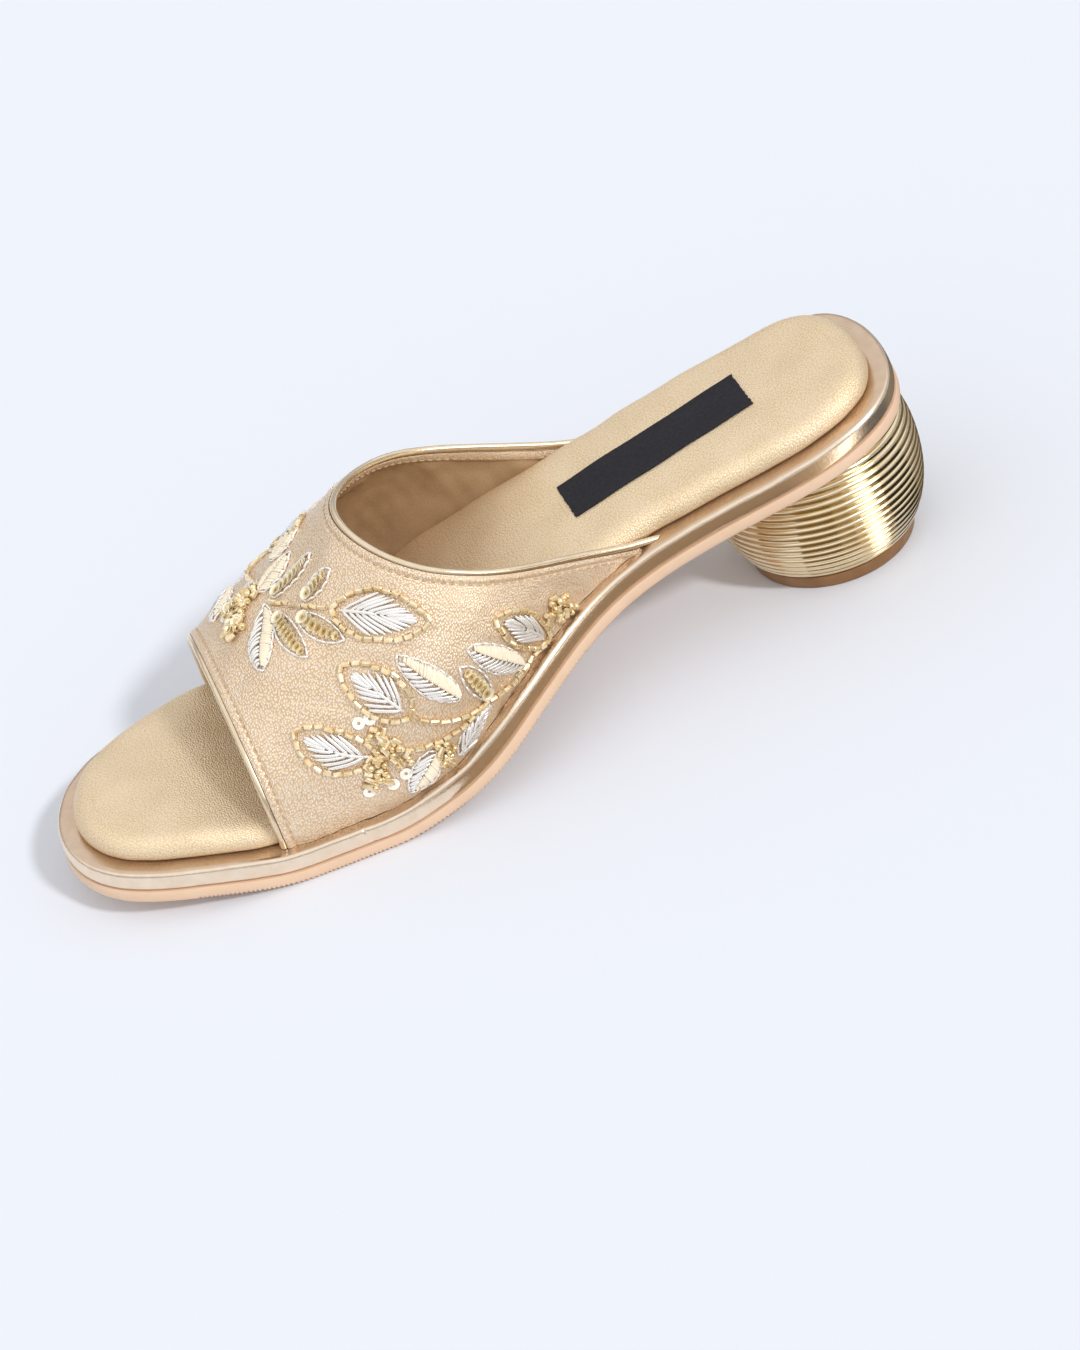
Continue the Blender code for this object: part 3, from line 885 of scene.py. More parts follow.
class Patch:
    """Chart of the vamp about the line from a motif's base to its tip.

    t runs from 0 at the base to 1 at the tip, and aside is millimetres to the left of the
    line, for one who looks at the leather and faces the tip. bend bows the line to the left.
    """

    def __init__(self, base, tip, bend=0.0):
        self.base = np.array(base, dtype=float)
        self.span = np.array(tip, dtype=float) - self.base
        self.bend = bend
        t = np.linspace(0.0, 1.0, 40)
        self.length = walk(self.base + t[:, None] * self.span)[-1]

    def at(self, t, aside):
        """(along, around) of chart places."""
        t = np.asarray(t, dtype=float)
        centre = self.base + t[..., None] * self.span
        along = centre[..., 0]
        around = np.clip(centre[..., 1], 0.004, 0.996)
        step = 0.003
        by_along = (vamp(along + step, around) - vamp(along - step, around)) / (2 * step)
        by_around = (vamp(along, around + step) - vamp(along, around - step)) / (2 * step)
        axis = by_along * self.span[0] + by_around * self.span[1]
        left = unit(np.cross(np.cross(by_along, by_around), axis))
        aa, ab, bb, la, lb = ((one * other).sum(-1) for one, other in (
            (by_along, by_along), (by_along, by_around), (by_around, by_around),
            (by_along, left), (by_around, left)))
        scale = (aside + self.bend * 4 * t * (1 - t)) / (aa * bb - ab ** 2)
        return along + scale * (bb * la - ab * lb), around + scale * (aa * lb - ab * la)

    def skin(self, t, aside, lift=0.0):
        """Point on the leather and its normal."""
        return skin(*self.at(t, aside), lift)


def leaf_width(t, rounded=False):
    """Half width of a leaf as a share of its greatest, pointed at the tip."""
    t = np.clip(t, 0.0, 1.0)
    base, tip = (0.55, 0.85) if rounded else (0.75, 0.8)
    peak = base / (base + tip)
    return (t / peak) ** base * ((1 - t) / (1 - peak)) ** tip


def around_leaf(patch, half_width, grow, rounded=False, reach=None):
    """Closed line round a leaf, grow millimetres outside it, from base up the left side.

    reach is how far the line passes the leaf's base and tip.
    """
    base_reach, tip_reach = reach or (grow * 0.9, grow * 1.3)
    t = even_turns(80)
    width = (half_width + grow) * leaf_width(t, rounded)
    place = (t * (patch.length + base_reach + tip_reach) - base_reach) / patch.length
    along, around = patch.at(np.concatenate([place, place[-2::-1]]),
                             np.concatenate([width, -width[-2::-1]]))
    return np.column_stack([along, np.clip(around, 0.003, 0.997)])


# ---------------------------------------------------------------- embroidery parts
DRAW = np.random.default_rng(SEED)
WIRES = Batch()
PURL = Batch()
SATIN = Batch()
BEADS = Batch()
BEAD_LININGS = Batch()
SEED_BEADS = Batch()
SEQUINS = Batch()
PALE_SEQUINS = Batch()
STRAND_RADIUS = 0.46
PURL_RADIUS = 0.34
PURL_LENGTH = 2.7
BEAD_RADIUS = 0.73
BEAD_LENGTH = 2.15
BEAD_GAP = 0.38
BEAD_BORE = 0.5                        # share of a bead's radius
GOLDEN_TURN = 2.39996                  # radians, for even spirals


def strands(batch, patch, half_width, side, pitch, radius, lead, rounded, height, steps=8,
            sides_count=6):
    """Side-by-side strands from a leaf's midrib out to its edge, domed over padding.

    lead is how far each strand runs towards the tip as it crosses its half of the leaf.
    """
    count = max(5, int(patch.length * 0.9 / pitch))
    for k in range(count):
        share = (k + 0.5) / count
        start = 0.015 + 0.90 * share + DRAW.uniform(-0.25, 0.25) * min(pitch, 0.8) / patch.length
        stop = min(start + lead / patch.length * (1 - 0.75 * share ** 3), 0.985)
        reach = half_width * leaf_width(stop, rounded) + DRAW.uniform(-0.2, 0.2)
        reach = max(float(reach), 0.35)
        p = np.linspace(0.0, 1.0, steps)
        dome = height * np.sin(math.pi * (0.22 + 0.74 * p)) ** 0.8 * min(1.0, 0.35 + reach / 3.0)
        lift = radius * 0.6 + dome + DRAW.uniform(0.0, 0.55) * radius
        path, normal = patch.skin(start + (stop - start) * p, side * (0.08 + reach * p ** 0.85),
                                  lift)
        tube(batch, path, normal, radius * DRAW.uniform(0.92, 1.06), sides_count, ends=0.55)


def satin(patch, half_width, side, lead):
    """Close satin stitch over one half of a leaf."""
    strands(SATIN, patch, half_width, side, 0.38, 0.25, lead, False, 0.8, steps=7, sides_count=5)


def midrib(patch, to, lift):
    """Strand laid over the middle of a leaf, from its base to a share of its length."""
    t = np.linspace(0.0, to, 12)
    path, normal = patch.skin(t, 0.0, lift * np.sin(math.pi * (0.12 + 0.6 * t / to)))
    tube(WIRES, path, normal, STRAND_RADIUS * 0.95, 7, ends=0.6)


def purl_outline(line):
    """Couched silver purl: straight short lengths that dip where each is stitched down."""
    spots = walk(line)
    length = spots[-1]
    count = max(5, round(length / PURL_LENGTH))
    ends = (np.arange(count + 1) + 0.3) / count * length
    ends[1:-1] += DRAW.uniform(-0.2, 0.2, count - 1)
    for start, stop in zip(ends[:-1], ends[1:]):
        at = start + (stop - start) * np.array([0.03, 0.12, 0.35, 0.65, 0.88, 0.97])
        points, normal = skin(*along_line(line, spots, at % length))
        share = ((at - at[0]) / (at[-1] - at[0]))[:, None]
        points = 0.2 * points + 0.8 * (points[0] + (points[-1] - points[0]) * share)
        bow = np.array([0.05, 0.24, 0.40, 0.40, 0.24, 0.05])
        tube(PURL, points + bow[:, None] * normal, normal, PURL_RADIUS, 8, ends=0.75)


def turned_bead(batch, centre, direction, normal, length, radius, sides_count, turned, profile):
    """A bead turned round its bore from (place along it, share of its radius) profile points."""
    direction, side, out = square_frame(direction, normal)
    ring = circle(side, out, sides_count, turned)
    rows = [centre + direction * at * length + ring * radius * size for at, size in profile]
    batch.add(np.vstack(rows), grid_faces(len(rows), sides_count, closed=True, looped=True))
    return direction


def bugle(centre, direction, normal, length, radius):
    """A short cut-glass tube bead: eight flats, and a bore with a bright lining."""
    half = [(-0.5, BEAD_BORE), (-0.5, 0.86), (-0.44, 1.0)]
    profile = half + [(-at, size) for at, size in half[::-1]]
    direction = turned_bead(BEADS, centre, direction, normal, length, radius, 8,
                            DRAW.uniform(0, 1), profile)
    core = centre + direction * np.array([-0.47, -0.2, 0.2, 0.47])[:, None] * length
    tube(BEAD_LININGS, core, normal, radius * (BEAD_BORE - 0.05), 8)


def seed_bead(centre, direction, normal, length, radius):
    """A small round glass bead."""
    half = [(-0.40, 0.36), (-0.5, 0.52), (-0.44, 0.78), (-0.22, 0.97)]
    profile = half + [(0.0, 1.0)] + [(-at, size) for at, size in half[::-1]]
    turned_bead(SEED_BEADS, centre, direction, normal, length, radius, 12, 0.0, profile)


def bead_line(line, radius=BEAD_RADIUS, loose=0.14):
    """Bugle beads end to end along a line on the leather."""
    spots = walk(line)
    total = spots[-1]
    count = max(1, round(total / (BEAD_LENGTH + BEAD_GAP)))
    pitch = total / count
    for k in range(count):
        at = (k + 0.5) * pitch
        own = pitch - BEAD_GAP + DRAW.uniform(-0.12, 0.08)
        place = along_line(line, spots, np.clip([at - own / 2, at, at + own / 2], 0.0, total))
        points, normal = skin(*place, radius + 0.02)
        aside = np.cross(normal[1], unit(points[2] - points[0]))
        centre = (points[0] + points[2]) / 2 + aside * DRAW.normal() * loose
        swing = points[2] - points[0] + aside * DRAW.normal() * 0.22
        swing = swing + normal[1] * DRAW.normal() * 0.12
        bugle(centre, swing, normal[1], own, radius * DRAW.uniform(0.92, 1.05))


def heap_chart(centre):
    """Chart round a place, which faces the topline."""
    return Patch(centre, (centre[0] + 0.05, centre[1]))


def heap_place(patch, spread, share, turn, lift):
    """Point and normal at a share of a heap's spread, at a turn about its middle."""
    return patch.skin(spread[0] * share * math.cos(turn) / patch.length,
                      spread[1] * share * math.sin(turn), lift)


def cluster(centre, spread, count):
    """Heaped gold beads round a chart place; spread is millimetres (one way, the other)."""
    patch = heap_chart(centre)
    for k in range(count):
        share = math.sqrt((k + 0.5) / count)
        turn = GOLDEN_TURN * k + DRAW.uniform(-0.3, 0.3)
        lift = 0.75 + 1.2 * (1 - share) * (k % 2) + DRAW.uniform(0.0, 0.2)
        point, normal = heap_place(patch, spread, share, turn, lift)
        lean = unit(DRAW.normal(size=3))
        direction = lean - 0.8 * normal * (lean @ normal)
        if DRAW.uniform() < 0.6:
            seed_bead(point, direction, normal, DRAW.uniform(1.35, 1.6), DRAW.uniform(0.88, 1.0))
        else:
            bugle(point, direction, normal, DRAW.uniform(2.0, 2.6), DRAW.uniform(0.68, 0.76))


SEQUIN_SIDES = 18
SEQUIN_THICKNESS = 0.07


def sequin(batch, centre, normal, toward, radius, cup, tilt=0.0):
    """A cupped round sequin with its hole; tilt raises the edge that lies toward."""
    toward = unit(toward - normal * (toward @ normal))
    up = unit(normal * math.cos(tilt) - toward * math.sin(tilt))
    ahead = unit(toward * math.cos(tilt) + normal * math.sin(tilt))
    flat = circle(ahead, np.cross(normal, toward), SEQUIN_SIDES)
    profile = [(0.26, 0.0), (0.5, 0.0), (0.78, cup * 0.7), (0.86, cup * 0.92), (1.0, cup)]
    profile += [(size, rise - SEQUIN_THICKNESS) for size, rise in profile[::-1]]
    rows = [centre + flat * radius * size + up * rise for size, rise in profile]
    faces = grid_faces(len(rows), SEQUIN_SIDES, closed=True, looped=True)
    size = np.repeat([size for size, _ in profile], SEQUIN_SIDES)
    batch.add(np.vstack(rows), faces, by_corner(np.column_stack([size, 0 * size]), faces))


def silver_leaf(base, tip, half_width, bend=0.0, rib=0.5, beads=True, lead=0.42, pitch=1.75):
    """Padded leaf of silver strands in a herringbone, edged with bugle beads or purl."""
    patch = Patch(base, tip, bend)
    for side in (-1, 1):
        strands(WIRES, patch, half_width + 0.4, side, pitch, STRAND_RADIUS, lead * patch.length,
                True, 0.75)
    midrib(patch, rib, 1.25)
    if beads:
        bead_line(around_leaf(patch, half_width, 1.35, reach=(2.3, 3.0)))
    else:
        purl_outline(around_leaf(patch, half_width, 0.45, rounded=True))


def split_leaf(base, tip, half_width, bend=0.0, silver_side=1, lead=4.2):
    """Leaf with one half of silver strands and one of cream satin, edged with purl."""
    patch = Patch(base, tip, bend)
    strands(WIRES, patch, half_width, silver_side, 1.45, STRAND_RADIUS * 0.95, lead, False, 0.65)
    satin(patch, half_width, -silver_side, 1.6)
    purl_outline(around_leaf(patch, half_width, 0.4))


def cream_leaf(base, tip, half_width):
    """Leaf filled with cream satin, edged with purl."""
    patch = Patch(base, tip)
    for side in (-1, 1):
        satin(patch, half_width, side, 1.4)
    purl_outline(around_leaf(patch, half_width, 0.4))


SEQUIN_RADIUS = 1.85
SEQUIN_PITCH = 1.7


def sequin_leaf(base, tip, half_width, bend=0.0):
    """Row of overlapping cupped sequins in a purl outline, the first one flat on top."""
    patch = Patch(base, tip, bend)
    first = SEQUIN_RADIUS + 0.5
    room = patch.length - first - 2.2
    count = max(3, round(room / SEQUIN_PITCH) + 1)
    for k in range(count):
        share = k / (count - 1)
        t = (first + room * share) / patch.length
        size = SEQUIN_RADIUS * (1 - 0.35 * max(0.0, share - 0.5) / 0.5)
        aside = DRAW.uniform(-0.15, 0.15)
        ahead, _ = patch.skin(t + 0.02, aside)
        here, _ = patch.skin(t, aside)
        point, normal = patch.skin(t, aside, 0.95 if k == 0 else 0.70)
        tilt = 0.05 if k == 0 else 0.36 + DRAW.uniform(-0.06, 0.06)
        sequin(SEQUINS, point, normal, ahead - here, size, 0.42, tilt)
    purl_outline(around_leaf(patch, half_width, 0.3))


def sequin_heap(centre, spread, count):
    """Gold sequins heaped at all angles round a chart place."""
    patch = heap_chart(centre)
    for k in range(count):
        share = math.sqrt((k + 0.5) / count)
        lift = 0.9 + 1.3 * (1 - share)
        point, normal = heap_place(patch, spread, share, GOLDEN_TURN * k + 1.0, lift)
        lean = unit(DRAW.normal(size=3))
        sequin(SEQUINS, point, unit(normal + 0.55 * lean), lean, DRAW.uniform(1.25, 1.6), 0.4)


def ring_sequin(along, around):
    """A flat pale sequin on the leather."""
    point, normal = skin(along, around, 0.35)
    lean = unit(DRAW.normal(size=3))
    sequin(PALE_SEQUINS, point, unit(normal + 0.15 * lean), lean, 1.6, 0.2)


def stem(*points):
    bead_line(smooth_line(points), radius=BEAD_RADIUS * 0.94, loose=0.1)


# ---------------------------------------------------------------- embroidery chart
def embroider():
    """The whole spray, leaf by leaf: a leafy branch over the top, another up the medial side."""
    # Branch over the top of the foot.
    silver_leaf((0.713, 0.395), (0.797, 0.285), 4.9, 0.9, 0.5, pitch=1.6)
    sequin_leaf((0.635, 0.459), (0.833, 0.450), 2.4)
    sequin_leaf((0.505, 0.500), (0.802, 0.499), 2.5)
    split_leaf((0.453, 0.499), (0.250, 0.420), 3.5, -0.8, silver_side=-1, lead=3.2)
    cream_leaf((0.460, 0.515), (0.698, 0.532), 3.0)
    cream_leaf((0.560, 0.564), (0.763, 0.571), 2.6)
    sequin_leaf((0.485, 0.484), (0.453, 0.385), 2.5)
    sequin_leaf((0.575, 0.448), (0.613, 0.362), 2.5)
    stem((0.688, 0.413), (0.652, 0.436), (0.596, 0.463), (0.540, 0.485), (0.486, 0.498))
    stem((0.470, 0.525), (0.393, 0.590), (0.410, 0.633), (0.495, 0.682), (0.530, 0.748),
         (0.445, 0.825))
    silver_leaf((0.590, 0.660), (0.735, 0.585), 4.0, 0.0, 0.6)
    split_leaf((0.650, 0.690), (0.775, 0.680), 2.2, silver_side=1)
    split_leaf((0.638, 0.744), (0.858, 0.672), 3.0, silver_side=1)
    split_leaf((0.645, 0.797), (0.835, 0.756), 3.0, silver_side=-1)
    sequin_leaf((0.522, 0.693), (0.570, 0.604), 2.4)
    split_leaf((0.263, 0.635), (0.155, 0.565), 3.0, silver_side=-1)
    split_leaf((0.420, 0.669), (0.110, 0.765), 3.4, silver_side=1)
    sequin_leaf((0.413, 0.700), (0.348, 0.733), 2.0)
    split_leaf((0.348, 0.772), (0.292, 0.849), 3.0, silver_side=1)
    for place, spread, count in (
            ((0.425, 0.520), (2.4, 1.6), 5),
            ((0.360, 0.530), (3.4, 2.6), 12),
            ((0.300, 0.530), (4.6, 4.0), 17),
            ((0.248, 0.505), (3.8, 3.3), 12),
            ((0.340, 0.800), (4.0, 2.5), 12),
            ((0.302, 0.915), (3.0, 2.0), 8)):
        cluster(place, spread, count)
    sequin_heap((0.292, 0.528), (3.6, 3.0), 11)
    sequin_heap((0.250, 0.505), (2.6, 2.2), 7)
    for place in ((0.395, 0.553), (0.225, 0.537), (0.242, 0.575), (0.160, 0.646), (0.185, 0.66)):
        ring_sequin(*place)

    # Branch up the medial side.
    silver_leaf((0.460, 0.182), (0.503, 0.311), 4.4, -0.2, 0.55)
    silver_leaf((0.290, 0.152), (0.190, 0.264), 4.0, 0.8, 0.5)
    split_leaf((0.545, 0.104), (0.638, 0.274), 3.3, 0.8, silver_side=1)
    sequin_leaf((0.557, 0.034), (0.640, 0.156), 2.5, 0.4)
    split_leaf((0.642, 0.010), (0.703, 0.169), 3.1, 1.0, silver_side=1)
    silver_leaf((0.710, 0.012), (0.782, 0.135), 3.1, 0.0, 0.5)
    split_leaf((0.403, 0.054), (0.302, 0.010), 3.2, silver_side=-1)
    silver_leaf((0.430, 0.008), (0.547, 0.024), 2.0, 1.2, 0.5, beads=False, lead=0.3)
    stem((0.458, 0.169), (0.455, 0.136), (0.473, 0.103), (0.495, 0.072), (0.520, 0.050),
         (0.547, 0.037))
    stem((0.360, 0.179), (0.360, 0.141), (0.360, 0.109), (0.383, 0.089), (0.413, 0.071),
         (0.445, 0.061), (0.475, 0.050), (0.515, 0.045), (0.557, 0.036), (0.580, 0.018),
         (0.623, 0.010), (0.665, 0.007), (0.705, 0.006))
    for place, spread, count in (
            ((0.352, 0.185), (2.5, 2.0), 6),
            ((0.338, 0.134), (3.2, 3.0), 10),
            ((0.280, 0.120), (3.0, 3.0), 9),
            ((0.253, 0.091), (3.0, 2.5), 8),
            ((0.275, 0.080), (2.5, 2.0), 5),
            ((0.343, 0.089), (2.5, 2.0), 5),
            ((0.417, 0.043), (3.0, 2.5), 8),
            ((0.403, 0.018), (2.0, 1.5), 4),
            ((0.800, 0.040), (4.0, 3.5), 14),
            ((0.785, 0.012), (3.0, 1.5), 6)):
        cluster(place, spread, count)
    for place in ((0.355, 0.228), (0.388, 0.221), (0.280, 0.051), (0.225, 0.064), (0.318, 0.056)):
        ring_sequin(*place)

    WIRES.build("silver_strands", MATERIALS["wire"], 60.0)
    PURL.build("silver_outlines", MATERIALS["outline"], 60.0)
    SATIN.build("satin_leaves", MATERIALS["satin"], 60.0)
    BEADS.build("bugle_beads", MATERIALS["beads"], 20.0)
    SEED_BEADS.build("seed_beads", MATERIALS["seed_beads"], 80.0)
    BEAD_LININGS.build("bead_linings", MATERIALS["bead_linings"], 60.0)
    SEQUINS.build("cupped_sequins", MATERIALS["sequins"], 60.0)
    PALE_SEQUINS.build("ring_sequins", MATERIALS["pale_sequins"], 60.0)


# ---------------------------------------------------------------- sole
def smooth_section(section, steps):
    """A finer section through the same (inset, lift) corners."""
    section = np.asarray(section, dtype=float)
    lengths = np.linalg.norm(np.diff(section, axis=0), axis=1)
    knots = np.concatenate([[0.0], np.cumsum(np.sqrt(lengths))])
    chord = np.diff(section, axis=0) / np.diff(knots)[:, None]
    slopes = np.vstack([chord[:1], (chord[1:] + chord[:-1]) / 2, chord[-1:]])
    return hermite(knots, section, slopes, np.linspace(0.0, knots[-1], steps + 1))[0]


def sole_faces(rows, under=True):
    """Faces of stacked outline rows, closed at the last row and, if under, at the first."""
    count = len(rows[0])
    faces = grid_faces(len(rows), count, closed=True)
    if under:
        faces += outline_cap(count, 0)
    return faces + outline_cap(count, (len(rows) - 1) * count, flip=True)


RAND_SECTION = [
    # inset, lift
    (6.2, 0.0),
    (4.0, 0.0),
    (2.4, 0.0),
    (1.3, -0.02),
    (0.65, -0.25),
    (0.22, -0.75),
    (0.04, -1.5),
    (0.0, -2.6),
    (0.08, -3.9),
    (0.4, -4.8),
    (1.0, -RAND_THICKNESS),
]
SEAM_STATION = 170.0
SEAM_WIDTH = 0.22
SEAM_DEPTH = 0.22
SEAM_SLANT = 0.35
LEDGE_INSET = 1.2                      # the rand's top is level inside this


def build_rand():
    """Foil-wrapped edge board, with the butt seam of its wrapping on the medial side."""
    extra = (SEAM_STATION + np.linspace(-1.2, 1.2, 17)) / SOLE_LENGTH
    fractions = np.unique(np.concatenate([even_turns(170 // FINE), extra]))
    section = smooth_section(RAND_SECTION, 26)
    rows = []
    for inset, lift in section:
        loop = outline(inset, fractions)
        medial = np.arange(len(loop)) < len(fractions)
        slant = SEAM_STATION + SEAM_SLANT * (lift + 1.0)
        notch = SEAM_DEPTH * bell(loop[:, 0] - slant, SEAM_WIDTH) * medial
        notch = notch * smooth_step((5.5 - inset) / 2)
        down, inward = (1.0, 0.3) if inset > LEDGE_INSET else (0.3, 1.0)
        if 0.3 < inset < 5:
            lift = lift + 0.05 * ripple(with_lift(loop, lift * 0.3), 11.0, 31)
        further = (outline(inset + 0.2, fractions) - loop) / 0.2
        rows.append(lifted(loop + further * (notch * inward)[:, None], lift - notch * down))
    faces = sole_faces(rows)
    unrolled = np.vstack([outline(section[0, 0] - run, fractions) for run in run_along(section)])
    made = mesh_object("rand_wrap", world(np.vstack(rows)), faces, MATERIALS["rand"], 60.0,
                       by_corner(unrolled, faces))
    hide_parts("rand")


OUTSOLE_SECTION = [
    # inset, lift
    (0.7, -RAND_THICKNESS - GAP),
    (0.35, -RAND_THICKNESS - GAP - 0.12),
    (0.2, -RAND_THICKNESS - GAP - 0.5),
    (0.2, -7.0),
    (0.3, -SOLE_THICKNESS + 1.4),
    (0.5, -SOLE_THICKNESS + 0.7),
    (0.85, -SOLE_THICKNESS + 0.2),
    (1.3, -SOLE_THICKNESS),
    (9.0, -SOLE_THICKNESS),
    (20.0, -SOLE_THICKNESS),
]
TREAD = (104.0, 214.0)
TREAD_PITCH = 1.1
TREAD_DEPTH = 0.45
TREAD_START = 7.9                      # the ribs begin this far below the seat line


def tread_fractions():
    """Stations for the outsole: four to a tread rib, wider elsewhere."""
    start, end = TREAD
    ribs = np.arange(start, end, TREAD_PITCH / 4)
    wide = even_turns(90) * SOLE_LENGTH
    wide = wide[(wide < start - 0.5) | (wide > end + 0.5)]
    return np.sort(np.concatenate([wide, ribs])) / SOLE_LENGTH


def build_outsole():
    """Rubber sole with fine ribs across under the forefoot."""
    fractions = tread_fractions()
    along = fractions * SOLE_LENGTH
    quarter = np.round((along - TREAD[0]) / (TREAD_PITCH / 4)) % 4
    rib = (along >= TREAD[0]) & (along < TREAD[1]) & (quarter < 2)
    both = np.concatenate([rib, rib[-2:0:-1]]) * TREAD_DEPTH
    rows = []
    for inset, lift in OUTSOLE_SECTION:
        deep = smooth_step((-lift - TREAD_START) / 1.2)
        rows.append(lifted(outline(inset, fractions), lift + both * deep))
    made = mesh_object("outsole_ribbed", world(np.vstack(rows)), sole_faces(rows),
                       MATERIALS["outsole"], 35.0)
    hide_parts("outsole")


def pad_inset(station):
    """Distance of the pad's edge from the sole's, wider where the upper passes it."""
    start, end = PAD_NARROW
    into = np.clip((station - start) / PAD_NARROW_RUN + 1, 0, 1)
    out = np.clip((end - station) / PAD_NARROW_RUN + 1, 0, 1)
    narrow = smooth_step(np.minimum(into, out))
    return PAD_INSET + (PAD_INSET_UNDER_UPPER - PAD_INSET) * narrow


PAD_SECTION = [
    # inset from the pad's edge, lift
    (5.6, 6.1),
    (3.4, 5.75),
    (1.7, 4.9),
    (0.6, 3.7),
    (0.05, 2.2),
    (0.25, 1.0),
    (0.9, 0.35),
    (1.8, 0.12),
]
PAD_TOP_INSET, PAD_TOP = PAD_SECTION[0]
PUCKER_HEIGHT = 0.07
PUCKERS = 90                           # round the pad's edge


def pad_outline(inset, fractions):
    return outline(lambda station: pad_inset(station) + inset, fractions)


def pad_softness(flat, lift):
    return 0.10 * ripple(with_lift(flat, lift), 14.0, 41)


def pad_crown(t, turn):
    """Rise of the pad's top at shares of its width and of the turn from heel to toe."""
    return PAD_CROWN * (1 - (2 * t - 1) ** 2) * np.sin(math.pi * turn) ** 0.5


def build_pad():
    """Leather-covered foam foot bed: puffed edge, tight crease below, crowned top."""
    fractions = even_turns(150 // FINE)
    section = smooth_section(PAD_SECTION, 18)
    rows = []
    for inset, lift in section:
        loop = pad_outline(inset, fractions)
        bearing = np.arctan2(loop[:, 1], loop[:, 0] - SOLE_LENGTH / 2)
        pucker = PUCKER_HEIGHT * np.sin(bearing * PUCKERS + 2 * np.sin(loop[:, 0] / 8))
        soft = pad_softness(loop, lift) * smooth_step(lift / 3)
        rows.append(lifted(loop, lift + soft + pucker * bell(lift - 1.2, 1.1)))
    count = len(rows[0])
    faces = sole_faces(rows, under=False)

    rim = pad_outline(PAD_TOP_INSET, fractions)
    toe = count // 2
    columns_count = 22
    turn, t = np.meshgrid(np.arange(1, toe) / toe, np.arange(1, columns_count) / columns_count,
                          indexing="ij")
    right = t.ravel()[:, None]
    inner = (np.repeat(rim[1:toe], columns_count - 1, axis=0) * (1 - right)
             + np.repeat(rim[:toe:-1], columns_count - 1, axis=0) * right)
    top = lifted(inner, PAD_TOP + pad_crown(t, turn).ravel() + pad_softness(inner, PAD_TOP))
    corner = np.zeros((toe + 1, columns_count + 1), dtype=int)
    corner[:, 0] = np.arange(toe + 1)
    corner[:, -1] = count - corner[:, 0]
    corner[1:toe, 1:-1] = len(rows) * count + np.arange(len(inner)).reshape(toe - 1, -1)
    corner[0] = 0
    corner[toe] = toe
    for i in range(toe):
        for j in range(columns_count):
            loop = (corner[i, j], corner[i, j + 1], corner[i + 1, j + 1], corner[i + 1, j])
            faces.append([int(vertex) for vertex in dict.fromkeys(loop)])
    unrolled = [pad_outline(PAD_TOP_INSET - run, fractions) for run in run_along(section)]
    made = mesh_object("insole_pad", world(np.vstack(rows + [top])), faces, MATERIALS["pad"], 70.0,
                       by_corner(np.vstack(unrolled + [inner]), faces))
    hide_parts("insole")


# ---------------------------------------------------------------- label
LABEL_STATIONS = (35.0, 87.0)
LABEL_ACROSS = -2.7
LABEL_WIDTH = 16.0
LABEL_LIFT = 0.06                      # of its underside above the pad
LABEL_TOP = 0.34                       # and of its face
LABEL_HEM = 0.08                       # more along its border


def pad_top(station, across):
    """Lift of the pad's top above the seat line at places clear of its edge."""
    medial, lateral = sides(lambda at: pad_inset(at) + PAD_TOP_INSET)
    high, low = side_across(station, medial), side_across(station, lateral)
    t = np.clip((high - across) / (high - low), 0, 1)
    fraction = (station - medial[0, 0]) / (medial[-1, 0] - medial[0, 0])
    turn = np.arccos(1 - 2 * np.clip(fraction, 0, 1)) / math.pi
    flat = np.column_stack([station, across])
    return PAD_TOP + pad_crown(t, turn) + pad_softness(flat, PAD_TOP)


def build_label():
    """Bare black woven label laid on the foot bed, its cut ends slightly frayed."""
    rows, per_row = 53, 17
    station, aside = np.meshgrid(np.linspace(*LABEL_STATIONS, rows),
                                 np.linspace(-0.5, 0.5, per_row) * LABEL_WIDTH, indexing="ij")
    places = np.stack([station, aside], axis=-1).reshape(-1, 2)
    fray = 0.12 * ripple(places, 1.9, 51).reshape(station.shape)
    station[[0, -1]] += fray[[0, -1]]
    flat = np.column_stack([station.ravel(), LABEL_ACROSS + aside.ravel()])
    top = pad_top(flat[:, 0], flat[:, 1])
    border = LABEL_WIDTH / 2 - np.abs(aside.ravel())
    rise = LABEL_TOP + LABEL_HEM * bell(border, 0.9)
    vertices = np.vstack([lifted(flat, top + rise), lifted(flat, top + LABEL_LIFT)])

    upper = grid_faces(rows, per_row)
    below = rows * per_row
    corner = np.arange(below).reshape(rows, per_row)
    rim = np.concatenate([corner[0], corner[1:, -1], corner[-1, -2::-1], corner[-2:0:-1, 0]])
    faces = upper + [[vertex + below for vertex in face[::-1]] for face in upper]
    faces += [[after, here, here + below, after + below]
              for here, after in zip(rim.tolist(), np.roll(rim, -1).tolist())]
    made = mesh_object("label_blank", world(vertices), faces, MATERIALS["label"], 60.0,
                       by_corner(np.vstack([flat, flat]), faces))


# ---------------------------------------------------------------- heel
def ball_radius(height):
    """Radius of the ball at a height above the floor."""
    reach = abs((height - BALL_CENTRE_HEIGHT) / BALL_HALF_HEIGHT)
    return BALL_RADIUS * (1 - reach ** BALL_SQUARENESS) ** (1 / BALL_SQUARENESS)


def turned(name, profile, sides_count, material, sharp_angle, trim=None):
    """A solid turned round the heel's upright axis from (radius, height) points."""
    ring = circle(np.array([1.0, 0.0]), np.array([0.0, 1.0]), sides_count)
    rows = [with_lift(ring * radius + (HEEL_STATION, 0.0), height) for radius, height in profile]
    return mesh_object(name, world(np.vstack(rows)),
                       grid_faces(len(rows), sides_count, closed=True, caps=True), material,
                       sharp_angle, trim=trim)


RING_STEPS = 9
BALL_TOP = 53.5                        # the ball is no narrower above this height


